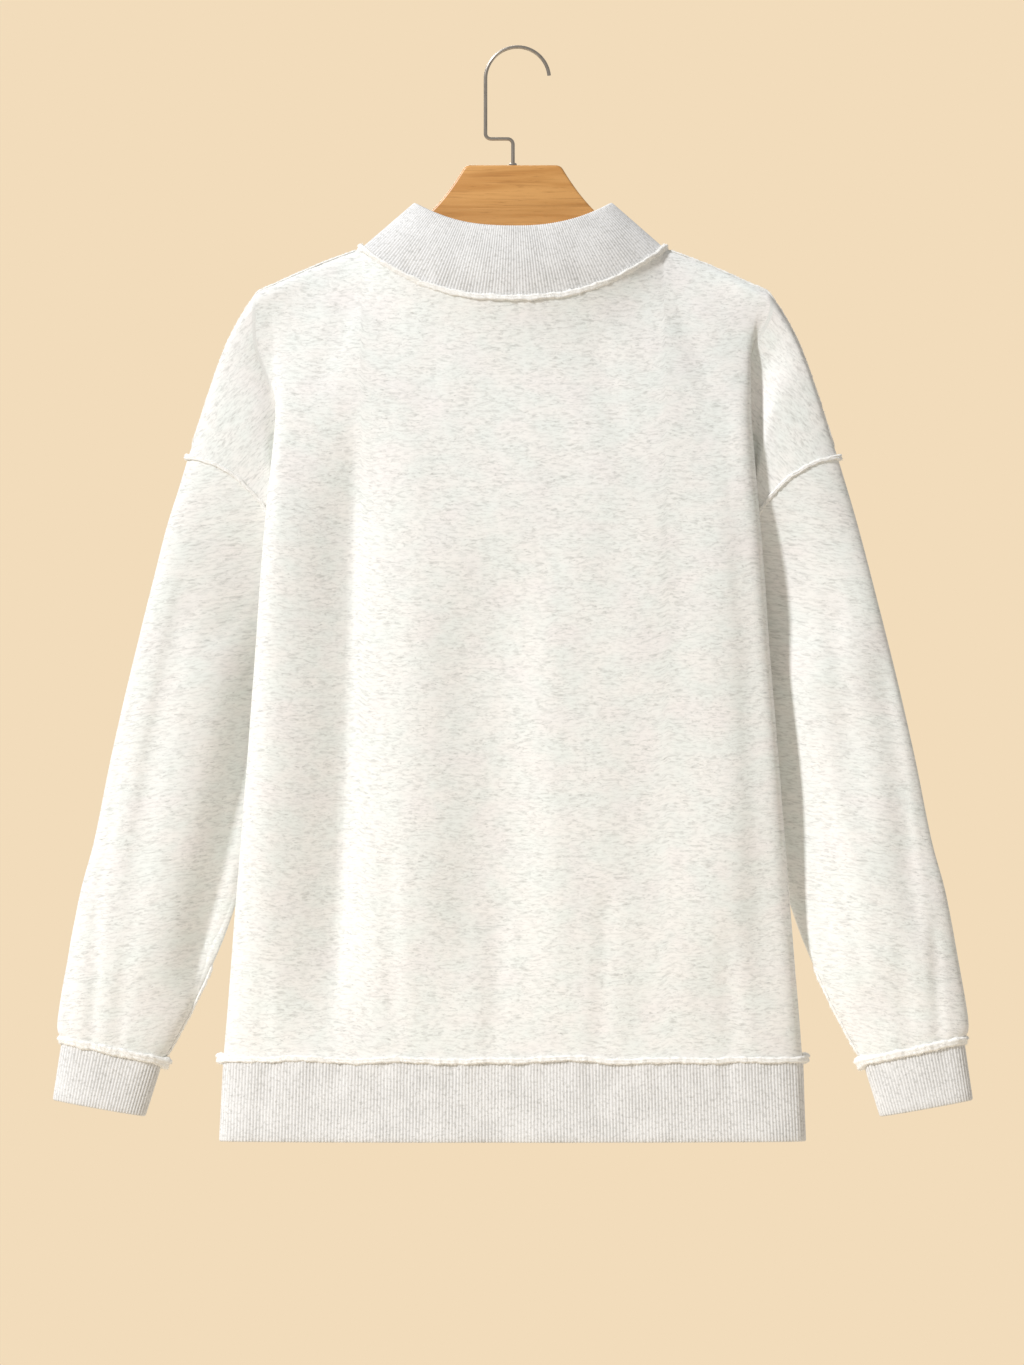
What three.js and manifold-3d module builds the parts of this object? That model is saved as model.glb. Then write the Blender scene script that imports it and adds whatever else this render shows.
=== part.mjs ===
// Tunic sweatshirt with outside seams, hanging on a flat wooden hanger with a wire hook.
// Millimetres, +Z up. The garment's front faces -Y, its back +Y, and the wearer's left side is +X.
// The origin is the inside of the hook's crown, where it bears on a rail.

import * as THREE from 'three';
import { mergeVertices } from 'three/addons/utils/BufferGeometryUtils.js';
import Module from 'manifold-3d';

// ---------------------------------------------------------------- driving dimensions

const FLEECE = 2.4;            // wall of the brushed fleece
const RIB = 3.0;               // wall of the folded rib
const SEAM_GAP = 0.3;          // clearance between two pieces at a seam

const NECK_HALF = 126;         // half width of the neck seam
const NECK_CORNER_Z = -166;    // height of the neck seam's corners, on the shoulders
const NECK_DEPTH = 34;         // depth of the neck seam, front and back
const NECK_BACK_Z = -209;      // neck seam at the centre back
const NECK_FRONT_Z = -250;     // neck seam at the centre front

const COLLAR_HALF = 83;        // half width of the collar's folded top edge
const COLLAR_CORNER_Z = -129;
const COLLAR_BACK_Z = -150;
const COLLAR_FRONT_Z = -186;
const COLLAR_DEPTH = 30;

const TIP = { x: 271, z: -341 };          // where the shoulder seam meets the armhole seam
const UNDERARM = { x: 186, z: -452 };
const HEM_SEAM_Z = -842;
const HEM_HALF = 242;                     // half width of the body at the hem seam
const HEM_BAND_HALF = 245;                // half width at the band's lower edge
const HEM_BAND_HEIGHT = 67;
const HEM_DEPTH = 30;
const HEM_NECK_X = 130;                   // where the columns from the neck corners end at the hem
const SIDE_ROUND = 6;                     // how far the front turns round beside the side seam
const SIDE_TURN = { inset: 24, fade: 38, depth: 11, length: 340 };   // the side seam, tucked in
const ARMHOLE_DEPTH = 12;                 // half the depth of the armhole seam

const SHOULDER_ROUND = 9;      // the cloth's round over the hanger's top edge
const SHOULDER_EASE = 140;     // drop over which the body reaches its full depth

const RIDGE_HALF = 2.8;        // half width of a raw seam's ridge
const RIDGE_HEIGHT = 2.4;
const RIDGE_CLEAR = 0.75;      // how far a ridge stands off the cloth, for the slack between facets

// Shoulder seam from the neck to the armhole, evenly spaced rows.
const SHOULDER_ROWS = [
  { at: 'neck', x: NECK_HALF, z: NECK_CORNER_Z },
  { at: 'middle', x: 163, z: -180 },
  { at: 'crease', x: 199, z: -196 },
  { at: 'hanger end', x: 208, z: -200 },
  { at: 'past the hanger', x: 217, z: -208 },
  { at: 'drape', x: 241, z: -252 },
  { at: 'armhole', x: TIP.x, z: TIP.z },
];

// Depth of the body from the shoulders down, rows 160 mm apart.
const BODY_TOP_Z = -200;
const BODY_STEP = 160;
const BODY_ROWS = [
  { at: 'neck', back: 34, front: 32, foldY: 9 },
  { at: 'chest', back: 39, front: 34, foldY: 20 },
  { at: 'waist', back: 39, front: 34, foldY: 21 },
  { at: 'hip', back: 36, front: 33, foldY: 18.5 },
  { at: 'hem', back: HEM_DEPTH, front: HEM_DEPTH, foldY: 9 },
];

// The long creases where the back's edge folds over the sleeve, one each side.
const CREASES = {
  1: { overlap: 3, valleyY: 6, floor: 0 },
  '-1': { overlap: 3, valleyY: 3, floor: 1 },
};
const CREASE_TOP = { x: 198, z: -310 };
const CREASE_SLOPE = 0.081;    // how far the crease moves out for each millimetre down
const CREASE_START_Z = -238;
const CREASE_FULL_Z = -310;
const WING_BULGE = 7;

// Soft trough down the wearer's left of the back.
const TROUGH = { x: 150, halfWidth: 26, depth: 4.5, top: -320, bottom: -838 };

// The sleeve from armhole to cuff seam, evenly spaced rows: the outer and inner folds,
// half the depth, and how far the inner fold is tucked forwards.
const SLEEVE_ROWS = [
  { at: 'armhole', outerX: TIP.x, outerZ: TIP.z, innerX: UNDERARM.x, innerZ: UNDERARM.z, half: 12, tuck: 0 },
  { at: 'upper', outerX: 287, outerZ: -395, innerX: 193, innerZ: -508, half: 13, tuck: 14 },
  { at: 'above elbow', outerX: 304, outerZ: -460, innerX: 198, innerZ: -565, half: 14, tuck: 16 },
  { at: 'elbow', outerX: 320.5, outerZ: -526, innerX: 206, innerZ: -620, half: 14, tuck: 15 },
  { at: 'below elbow', outerX: 335.5, outerZ: -592, innerX: 220, innerZ: -676, half: 14, tuck: 10 },
  { at: 'forearm', outerX: 349, outerZ: -659, innerX: 237, innerZ: -730, half: 14, tuck: 6 },
  { at: 'lower', outerX: 361, outerZ: -704, innerX: 252, innerZ: -767, half: 14, tuck: 2 },
  { at: 'wrist', outerX: 371.5, outerZ: -760, innerX: 267, innerZ: -799, half: 14, tuck: 0 },
  { at: 'above cuff', outerX: 380, outerZ: -812, innerX: 283, innerZ: -829, half: 14, tuck: 0 },
  { at: 'cuff seam', outerX: 376, outerZ: -826, innerX: 292, innerZ: -844, half: 12.5, tuck: 0 },
];
const CUFF_END = { outerX: 383.5, outerZ: -875, innerX: 306, innerZ: -889, half: 12, tuck: 0 };

// Mesh steps.
const NECK_STEPS = 6;          // centre to neck corner
const YOKE_STEPS = 3;          // neck corner to crease
const CREASE_STEPS = 2;        // crease to the valley beside it
const WING_STEPS = 4;          // valley to armhole seam
const ARMHOLE_TURNS = [0, 0.015, 0.055, 0.13, 0.25, 0.375, 0.5, 0.625, 0.75, 0.875, 1];
const BODY_LEVELS = [0.09, 0.2, 0.35, 0.52, 0.7, 0.87, 1];
const SLEEVE_STEPS = [0.055, 0.13, 0.22, 0.33, 0.45, 0.57, 0.69, 0.8, 0.89, 0.95, 1];
const SLEEVE_SEAM_ROW = 7;     // where the underarm seam's ridge comes clear of the body

// The hanger: a flat board in the plane of the shoulders.
const BOARD = 11;              // thickness
const BOARD_TOP_Z = -97;
const BOARD_TOP_HALF = 38;
const ARM_CLEAR = 7.5;         // how far the arms' top lies below the shoulder seams
const ARM_HEIGHT = 27;
const ARM_END_X = 206;
const BOARD_CENTRE_BOTTOM_Z = -170;
const BOARD_BEVEL = 2.6;

// The wire hook, bent in the same plane. It bears on the rail straight above its stem.
const WIRE = 3;
const HOOK_RADIUS = 26.6;      // to the wire's centre line
const HOOK_CENTRE = { x: -3.7, z: -24.8 };
const HOOK_TIP_ANGLE = 174;    // degrees round from the rise, over the crown, to the tip
const JOG_Z = -74.9;           // the level stretch between the stem and the rise
const BEND = 4.5;
const STEM_DEPTH = 18;         // how far the stem goes down into the board
const FERRULE = { inner: 1.9, outer: 3.2, height: 1.8 };

const SIDES = [[1, 'left'], [-1, 'right']];
const COLOURS = {
  fleece: '#ebe8e0', rib: '#dbd8d2', ridge: '#f4f1ea', wood: '#d39a5c', wire: '#b3aaa0',
};

// ---------------------------------------------------------------- small helpers

const clamp = (value, low, high) => Math.min(high, Math.max(low, value));
const mix = (a, b, t) => a + (b - a) * t;
const ease = (value) => {
  const t = clamp(value, 0, 1);
  return t * t * (3 - 2 * t);
};
const quarterRound = (value) => {
  const t = clamp(value, 0, 1);
  return Math.sqrt(1 - (1 - t) * (1 - t));
};
const bump = (value) => (Math.abs(value) >= 1 ? 0 : (1 - value * value) ** 2);

/** Catmull-Rom through one column of a table of evenly spaced rows, t from 0 to 1. */
function alongRows(rows, column, t) {
  const last = rows.length - 1;
  const place = clamp(t, 0, 1) * last;
  const i = Math.min(Math.floor(place), last - 1);
  const f = place - i;
  const at = (k) => rows[clamp(k, 0, last)][column];
  const [a, b, c, d] = [at(i - 1), at(i), at(i + 1), at(i + 2)];
  const startSlope = (c - a) / (i === 0 ? 1 : 2);
  const endSlope = (d - b) / (i === last - 1 ? 1 : 2);
  const f2 = f * f;
  const f3 = f2 * f;
  const values = b * (2 * f3 - 3 * f2 + 1) + c * (3 * f2 - 2 * f3);
  return values + startSlope * (f3 - 2 * f2 + f) + endSlope * (f3 - f2);
}

const BODY_LENGTH = BODY_STEP * (BODY_ROWS.length - 1);
const bodyRow = (column, z) => alongRows(BODY_ROWS, column, (BODY_TOP_Z - z) / BODY_LENGTH);

// ---------------------------------------------------------------- the body's surface

// A place on a body panel is (face, s, v). face is 1 for the back and -1 for the front.
// |s| runs 0 centre, 1 neck corner, 2 crease, 3 valley, 4 outer seam, and its sign is the side.
// v runs from 0 at the neck and shoulder seams to 1 level with the underarm, and 2 at the hem seam.

/** The top edge of a panel: half the neck seam, then the shoulder seam. */
function topEdge(face, s) {
  const a = Math.abs(s);
  const side = Math.sign(s) || 1;
  if (a <= 1) {
    const turn = (a * Math.PI) / 2;
    const x = NECK_HALF * Math.sin(turn);
    const low = face > 0 ? NECK_BACK_Z : NECK_FRONT_Z;
    const z = low + (NECK_CORNER_Z - low) * (x / NECK_HALF) ** 2.4;
    return { x: side * x, y: face * NECK_DEPTH * Math.max(0, Math.cos(turn)) ** 0.9, z };
  }
  const t = (a - 1) / 3;
  return { x: side * alongRows(SHOULDER_ROWS, 'x', t), y: 0, z: alongRows(SHOULDER_ROWS, 'z', t) };
}

const armholeFall = (v) => (1 - Math.cos((v * Math.PI) / 2)) ** 0.9;

/** The height of a place: quick at first below the shoulders, slow along the armhole seam. */
function levelAt(s, v, topZ) {
  if (v > 1) return mix(UNDERARM.z, HEM_SEAM_Z, v - 1);
  const seamLaw = clamp(Math.abs(s) - 3, 0, 1);
  return mix(topZ, UNDERARM.z, mix(v ** 0.8, armholeFall(v), seamLaw));
}

const creaseX = (z) => CREASE_TOP.x + CREASE_SLOPE * Math.max(0, CREASE_TOP.z - z);
const sideSeamX = (z) => creaseX(z) - SIDE_TURN.inset * Math.exp((z - UNDERARM.z) / SIDE_TURN.fade);
const sideSeamY = (z) => {
  const along = clamp((UNDERARM.z - z) / SIDE_TURN.length, 0, 1);
  return SIDE_TURN.depth * Math.sin(Math.PI * along) ** 0.65;
};

/** The outer edge of a panel: the armhole seam, then the side seam. */
function outerEdge(face, side, v) {
  const z = levelAt(4, v, TIP.z);
  if (v <= 1) {
    const x = TIP.x - (TIP.x - UNDERARM.x) * Math.sin((v * Math.PI) / 2);
    return { x: side * x, y: face * ARMHOLE_DEPTH * Math.max(0, Math.sin(Math.PI * v ** 0.6)) ** 0.8, z };
  }
  const join = Math.exp((z - UNDERARM.z) / 12);
  return { x: side * mix(sideSeamX(z), UNDERARM.x, join), y: sideSeamY(z), z };
}

/** Depth of the back between the centre and the crease. */
function backDepth(x, z) {
  const foldY = bodyRow('foldY', z);
  const ratio = clamp(Math.abs(x) / creaseX(z), 0, 1);
  const crown = foldY + (bodyRow('back', z) - foldY) * Math.sqrt(1 - ratio ** 2.6);
  const ends = ease((TROUGH.top - z) / 90) * ease((z - TROUGH.bottom) / 60 + 1);
  return crown - TROUGH.depth * ends * bump((x - TROUGH.x) / TROUGH.halfWidth);
}

/** How far the cloth stands off the shoulders' plane at a drop below the top edge. */
function overShoulder(topY, drop, full) {
  const hang = Math.max(topY, SHOULDER_ROUND);
  const over = topY + (hang - topY) * quarterRound(drop / SHOULDER_ROUND);
  return over + (full - hang) * ease(drop / SHOULDER_EASE);
}

/** The back between its centre and the crease. */
function backBody(s, v) {
  const a = Math.abs(s);
  const side = Math.sign(s) || 1;
  const top = topEdge(1, s);
  const z = levelAt(s, v, top.z);
  const drop = top.z - z;
  const openX = Math.abs(top.x);
  const inner = mix(Math.abs(topEdge(1, Math.min(a, 1)).x), HEM_NECK_X * Math.min(a, 1), v / 2);
  const target = a <= 1 ? inner : mix(inner, creaseX(z), a - 1);
  const x = side * mix(openX, target, ease(drop / 50));
  return { x, y: overShoulder(top.y, drop, backDepth(x, z)), z };
}

/** The valley beside the crease, which runs out into the turned side of the body. */
function backValley(side, v) {
  const top = topEdge(1, 3 * side);
  const z = levelAt(3, v, top.z);
  const fold = CREASES[side];
  const edge = outerEdge(1, side, v);
  const crease = backBody(2 * side, v);
  const formed = ease((CREASE_START_Z - z) / (CREASE_START_Z - CREASE_FULL_Z));
  const closed = ease((v - 0.5) / 0.35);
  const flat = overShoulder(0, top.z - z, SHOULDER_ROUND);
  const x = mix(Math.abs(top.x), creaseX(z) - fold.overlap, formed);
  return {
    x: side * mix(x, mix(Math.abs(crease.x), Math.abs(edge.x), 0.4), closed),
    y: mix(mix(flat, fold.valleyY, formed), mix(crease.y, edge.y, 0.55), closed),
    z,
    formed,
    closed,
  };
}

/** The back panel's surface, from the centre out to the outer seam. */
function backPoint(s, v) {
  const a = Math.abs(s);
  const side = Math.sign(s) || 1;
  if (v === 0) return topEdge(1, s);
  if (a === 4) return outerEdge(1, side, v);
  if (a <= 2) return backBody(s, v);
  const top = topEdge(1, s);
  const valley = backValley(side, v);
  if (a <= 3) {
    const crease = backBody(2 * side, v);
    const turn = ((a - 2) * Math.PI) / 2;
    const across = mix(a - 2, 1 - Math.cos(turn), valley.formed);
    const inwards = mix(a - 2, Math.sin(turn), valley.formed * (1 - 0.5 * valley.closed));
    const level = mix(Math.abs(topEdge(1, 2).x), Math.abs(topEdge(1, 3).x), across);
    const off = (1 - ease(v / 0.2)) * (Math.abs(top.x) - level);
    return {
      x: side * (mix(Math.abs(crease.x), Math.abs(valley.x), across) + off),
      y: mix(crease.y, valley.y, inwards),
      z: levelAt(s, v, top.z),
    };
  }
  const q = a - 3;
  const edge = outerEdge(1, side, v);
  const level = mix(Math.abs(topEdge(1, 3).x), TIP.x, q);
  const off = (1 - ease(v / 0.5)) * (Math.abs(top.x) - level);
  const rise = CREASES[side].floor ? ease((q - 0.15) / 0.4) - q : Math.sin(Math.PI * q) * 0.5;
  const bulge = valley.formed * (1 - valley.closed) * WING_BULGE * rise;
  return {
    x: side * (mix(Math.abs(valley.x), Math.abs(edge.x), q) + off),
    y: mix(valley.y, edge.y, q) + bulge,
    z: levelAt(s, v, top.z),
  };
}

/** The front panel's surface, which has no fold over the sleeve. */
function frontPoint(s, v) {
  const a = Math.abs(s);
  const side = Math.sign(s) || 1;
  if (v === 0) return topEdge(-1, s);
  const edge = outerEdge(-1, side, v);
  if (a === 4) return edge;
  const top = topEdge(-1, s);
  const z = levelAt(s, v, top.z);
  const reach = Math.abs(edge.x);
  const w = Math.max(0, a - 1) / 3;
  const inner = mix(Math.abs(topEdge(-1, Math.min(a, 1)).x), HEM_NECK_X * Math.min(a, 1), v / 2);
  const off = (1 - ease(v / 0.5)) * (Math.abs(top.x) - mix(NECK_HALF, TIP.x, w));
  const x = a <= 1 ? inner : mix(inner, reach, w) + off;
  const below = ease(v - 0.2);
  const shape = (1 - clamp(x / reach, 0, 1) ** mix(2.2, 1.6, below)) ** mix(0.6, 0.9, below);
  const turned = SIDE_ROUND * ease(v - 0.2) * quarterRound((reach - x) / 9);
  const full = turned - edge.y + (bodyRow('front', z) + edge.y - turned) * shape;
  return { x: side * x, y: -overShoulder(-top.y, top.z - z, full), z };
}

const spread = (from, to, steps) => Array.from({ length: steps }, (_, i) => mix(from, to, i / steps));
const HALF_COLUMNS = [
  ...spread(0, 1, NECK_STEPS), ...spread(1, 2, YOKE_STEPS),
  ...spread(2, 3, CREASE_STEPS), ...spread(3, 4, WING_STEPS), 4,
];
const COLUMNS = [...HALF_COLUMNS.slice(1).map((s) => -s).reverse(), ...HALF_COLUMNS];
const ROWS = [...ARMHOLE_TURNS, ...BODY_LEVELS.map((level) => 1 + level)];
const ARMHOLE_STEPS = ARMHOLE_TURNS.length - 1;

const vector = ({ x, y, z }) => new THREE.Vector3(x, y, z);
const panelGrid = (point) => ROWS.map((g) => COLUMNS.map((s) => vector(point(s, g))));

// ---------------------------------------------------------------- the rings

// Where a sleeve's points lie round it, in half turns from the outer fold over the back.
const FRONT_TURNS = ARMHOLE_TURNS.slice(1, -1).map((turn) => 2 - turn).reverse();
const SLEEVE_TURNS = [...ARMHOLE_TURNS, ...FRONT_TURNS];

/** A closed ring of a flattened tube between an outer and an inner fold. */
function tubeRing(side, row) {
  return SLEEVE_TURNS.map((turn) => {
    const c = Math.cos(turn * Math.PI);
    const s = Math.sin(turn * Math.PI);
    const across = (1 - Math.sign(c) * Math.abs(c) ** 0.85) / 2;
    const depth = row.half * Math.sign(s) * Math.abs(s) ** 0.85;
    const x = mix(row.outerX, row.innerX, across);
    const z = mix(row.outerZ, row.innerZ, across);
    return new THREE.Vector3(side * x, depth - (row.tuck || 0) * across, z);
  });
}

/** The sleeve's rings: the armhole seam itself, eased into flattened tubes to the cuff seam. */
function sleeveGrid(side, armhole) {
  const columns = ['outerX', 'outerZ', 'innerX', 'innerZ', 'half', 'tuck'];
  const rowAt = (w) => Object.fromEntries(columns.map((name) => [name, alongRows(SLEEVE_ROWS, name, w)]));
  const straight = tubeRing(side, rowAt(0));
  const rings = SLEEVE_STEPS.map((w) => {
    const keep = Math.max(0, 1 - w / 0.45) ** 2;
    return tubeRing(side, rowAt(w)).map((point, i) => {
      const pull = armhole[i].clone().sub(straight[i]);
      return point.addScaledVector(pull, keep);
    });
  });
  return [armhole, ...rings];
}

/** The collar's rings, from the neck seam up to the folded top edge. */
function collarGrid(neck) {
  const rows = 3;
  const topPoint = (i) => {
    const turn = (i / neck.length) * 2 * Math.PI;
    const x = COLLAR_HALF * Math.cos(turn);
    const back = Math.sin(turn) >= 0;
    const low = back ? COLLAR_BACK_Z : COLLAR_FRONT_Z;
    const z = low + (COLLAR_CORNER_Z - low) * Math.abs(x / COLLAR_HALF) ** 2.4;
    const y = COLLAR_DEPTH * Math.sign(Math.sin(turn)) * Math.abs(Math.sin(turn)) ** 0.9;
    return new THREE.Vector3(x, y, z);
  };
  return Array.from({ length: rows + 1 }, (_, j) => neck.map((point, i) => {
    const t = j / rows;
    const ring = point.clone().lerp(topPoint(i), t);
    ring.y *= 1 + 0.1 * Math.sin(Math.PI * t);
    return ring;
  }));
}

/** The hem band's rings, from the hem seam down to its folded lower edge. */
function hemGrid(seam) {
  const rows = 2;
  const widen = HEM_BAND_HALF / HEM_HALF;
  return Array.from({ length: rows + 1 }, (_, j) => seam.map((point) => {
    const t = j / rows;
    return new THREE.Vector3(point.x * mix(1, widen, t), point.y, point.z - HEM_BAND_HEIGHT * t);
  }));
}

// ---------------------------------------------------------------- from grids to walls

const keyOf = (p) => [p.x, p.y, p.z].map((value) => Math.round(value * 1000) || 0).join(',');

/** A grid of surface points, and which of its four edges are seams. Its cells face outwards. */
function patch(name, grid, thickness, closed, seams) {
  const piece = { name, grid, thickness, closed, seams, turned: false };
  const outward = cells(piece).reduce((sum, corners) => {
    const row = grid[corners[0][0]];
    const middle = new THREE.Vector3();
    row.forEach((point) => middle.add(point));
    middle.divideScalar(row.length);
    if (!closed) middle.y = 0;
    return sum + cellNormal(piece, corners).dot(grid[corners[0][0]][corners[0][1]].clone().sub(middle));
  }, 0);
  piece.turned = outward < 0;
  return piece;
}

/** The normal of one cell, as long as twice its area. */
function cellNormal(piece, corners) {
  const p = corners.map(([r, c]) => piece.grid[r][c]);
  return new THREE.Vector3().subVectors(p[2], p[0]).cross(new THREE.Vector3().subVectors(p[3], p[1]));
}

function cells(piece) {
  const { grid, closed, turned } = piece;
  const list = [];
  const across = grid[0].length;
  for (let r = 0; r + 1 < grid.length; r += 1) {
    for (let c = 0; c + (closed ? 0 : 1) < across; c += 1) {
      const next = (c + 1) % across;
      const corners = [[r, c], [r + 1, c], [r + 1, next], [r, next]];
      list.push(turned ? corners.reverse() : corners);
    }
  }
  return list;
}

/** Normals shared by every piece that meets at a point, so that seams have matching edges. */
function sharedNormals(pieces) {
  const sums = new Map();
  for (const piece of pieces) {
    for (const corners of cells(piece)) {
      const normal = cellNormal(piece, corners).normalize();
      for (const [r, c] of corners) {
        const key = keyOf(piece.grid[r][c]);
        if (!sums.has(key)) sums.set(key, new THREE.Vector3());
        sums.get(key).add(normal);
      }
    }
  }
  for (const normal of sums.values()) normal.normalize();
  return (point) => sums.get(keyOf(point));
}

/** Moves a seam's points half the gap into their own piece, square to the seam. */
function openSeams(piece) {
  const { grid, closed, seams } = piece;
  const down = grid.length - 1;
  const over = grid[0].length - 1;
  const shifts = grid.map((row) => row.map(() => new THREE.Vector3()));
  const shift = (r, c, inner, before, after) => {
    const inwards = new THREE.Vector3().subVectors(inner, grid[r][c]);
    const along = new THREE.Vector3().subVectors(after, before).normalize();
    inwards.addScaledVector(along, -inwards.dot(along)).normalize();
    shifts[r][c].addScaledVector(inwards, SEAM_GAP / 2);
  };
  const columnBefore = (c) => (closed ? (c + over) % (over + 1) : Math.max(0, c - 1));
  const columnAfter = (c) => (closed ? (c + 1) % (over + 1) : Math.min(over, c + 1));
  for (let c = 0; c <= over; c += 1) {
    if (seams.top) shift(0, c, grid[1][c], grid[0][columnBefore(c)], grid[0][columnAfter(c)]);
    if (seams.bottom) {
      shift(down, c, grid[down - 1][c], grid[down][columnBefore(c)], grid[down][columnAfter(c)]);
    }
  }
  if (seams.sides) {
    for (let r = 0; r <= down; r += 1) {
      const before = Math.max(0, r - 1);
      const after = Math.min(down, r + 1);
      shift(r, 0, grid[r][1], grid[before][0], grid[after][0]);
      shift(r, over, grid[r][over - 1], grid[before][over], grid[after][over]);
    }
  }
  return shifts;
}

/** Vertices and triangles gathered into one closed BufferGeometry. */
class Solid {
  constructor() {
    this.positions = [];
    this.triangles = [];
  }

  point(p) {
    this.positions.push(p.x, p.y, p.z);
    return this.positions.length / 3 - 1;
  }

  quad(a, b, c, d) {
    this.triangles.push(a, b, c, a, c, d);
  }

  /** Six times the volume that the triangles enclose, negative when they face inwards. */
  turnedVolume() {
    const corner = (i) => new THREE.Vector3().fromArray(this.positions, 3 * i);
    let sum = 0;
    for (let i = 0; i < this.triangles.length; i += 3) {
      const [a, b, c] = this.triangles.slice(i, i + 3).map(corner);
      sum += a.dot(b.cross(c));
    }
    return sum;
  }

  geometry() {
    if (this.turnedVolume() < 0) this.triangles.reverse();
    const geometry = new THREE.BufferGeometry();
    geometry.setAttribute('position', new THREE.Float32BufferAttribute(this.positions, 3));
    geometry.setIndex(this.triangles);
    const merged = mergeVertices(geometry, 1e-3);
    merged.computeVertexNormals();
    return merged;
  }
}

/** The wall of a patch: its surface, the same surface moved in by the thickness, and the edges. */
function wall(piece, normalAt) {
  const { grid, closed, turned, thickness } = piece;
  const shifts = openSeams(piece);
  const solid = new Solid();
  const outer = grid.map((row, r) => row.map((p, c) => solid.point(p.clone().add(shifts[r][c]))));
  const inner = grid.map((row, r) => row.map((p, c) => {
    return solid.point(p.clone().add(shifts[r][c]).addScaledVector(normalAt(p), -thickness));
  }));
  for (const [a, b, c, d] of cells(piece)) {
    const pick = (layer, [row, column]) => layer[row][column];
    solid.quad(pick(outer, a), pick(outer, b), pick(outer, c), pick(outer, d));
    solid.triangles.push(pick(inner, a), pick(inner, c), pick(inner, b));
    solid.triangles.push(pick(inner, a), pick(inner, d), pick(inner, c));
  }
  const level = (p) => 0.9 * p.z + 0.3 * Math.abs(p.x) + 0.2 * p.y;
  const edge = (from, to) => {
    const [a, b] = turned ? [to, from] : [from, to];
    const [oa, ob, ia, ib] = [outer[a[0]][a[1]], outer[b[0]][b[1]], inner[a[0]][a[1]], inner[b[0]][b[1]]];
    if (level(grid[a[0]][a[1]]) > level(grid[b[0]][b[1]])) {
      solid.triangles.push(oa, ib, ob, oa, ia, ib);
    } else {
      solid.triangles.push(oa, ia, ob, ob, ia, ib);
    }
  };
  const down = grid.length - 1;
  const over = grid[0].length - 1;
  for (let c = 0; c < over + (closed ? 1 : 0); c += 1) {
    const next = (c + 1) % (over + 1);
    edge([0, next], [0, c]);
    edge([down, c], [down, next]);
  }
  for (let r = 0; r < down && !closed; r += 1) {
    edge([r, 0], [r + 1, 0]);
    edge([r + 1, over], [r, over]);
  }
  return solid.geometry();
}

/** A raw seam's ridge: the seam's own points moved out, clear of the cloth on both sides. */
function ridge(points, normalAt, neighbours, looped) {
  const solid = new Solid();
  const last = points.length - 1;
  const sections = points.map((point, i) => {
    const before = points[looped ? (i + last) % (last + 1) : Math.max(0, i - 1)];
    const after = points[looped ? (i + 1) % (last + 1) : Math.min(last, i + 1)];
    const normal = normalAt(point);
    const along = new THREE.Vector3().subVectors(after, before).normalize();
    const across = new THREE.Vector3().crossVectors(along, normal).normalize();
    const clearance = (sign) => Math.max(0, ...neighbours(i).map((near) => {
      const away = new THREE.Vector3().subVectors(near, point);
      const sideways = away.dot(across) * sign;
      return sideways > 0.5 ? (away.dot(normal) / sideways) * RIDGE_HALF : 0;
    }));
    const lift = [clearance(-1), clearance(1)].map((rise) => Math.min(rise, 4) + RIDGE_CLEAR);
    const place = (b, n) => {
      return solid.point(point.clone().addScaledVector(across, b).addScaledVector(normal, n));
    };
    return [
      place(-RIDGE_HALF, lift[0]), place(0, RIDGE_CLEAR), place(RIDGE_HALF, lift[1]),
      place(RIDGE_HALF * 0.5, lift[1] + RIDGE_HEIGHT), place(-RIDGE_HALF * 0.5, lift[0] + RIDGE_HEIGHT),
    ];
  });
  const ring = sections[0].length;
  for (let i = 0; i < last + (looped ? 1 : 0); i += 1) {
    const [near, far] = [sections[i], sections[(i + 1) % (last + 1)]];
    for (let k = 0; k < ring; k += 1) {
      const next = (k + 1) % ring;
      solid.quad(near[k], near[next], far[next], far[k]);
    }
  }
  if (!looped) {
    const cap = (section) => {
      for (let k = 1; k + 1 < ring; k += 1) solid.triangles.push(section[0], section[k], section[k + 1]);
    };
    cap([...sections[0]].reverse());
    cap(sections[last]);
  }
  return solid.geometry();
}

// ---------------------------------------------------------------- the garment

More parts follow.
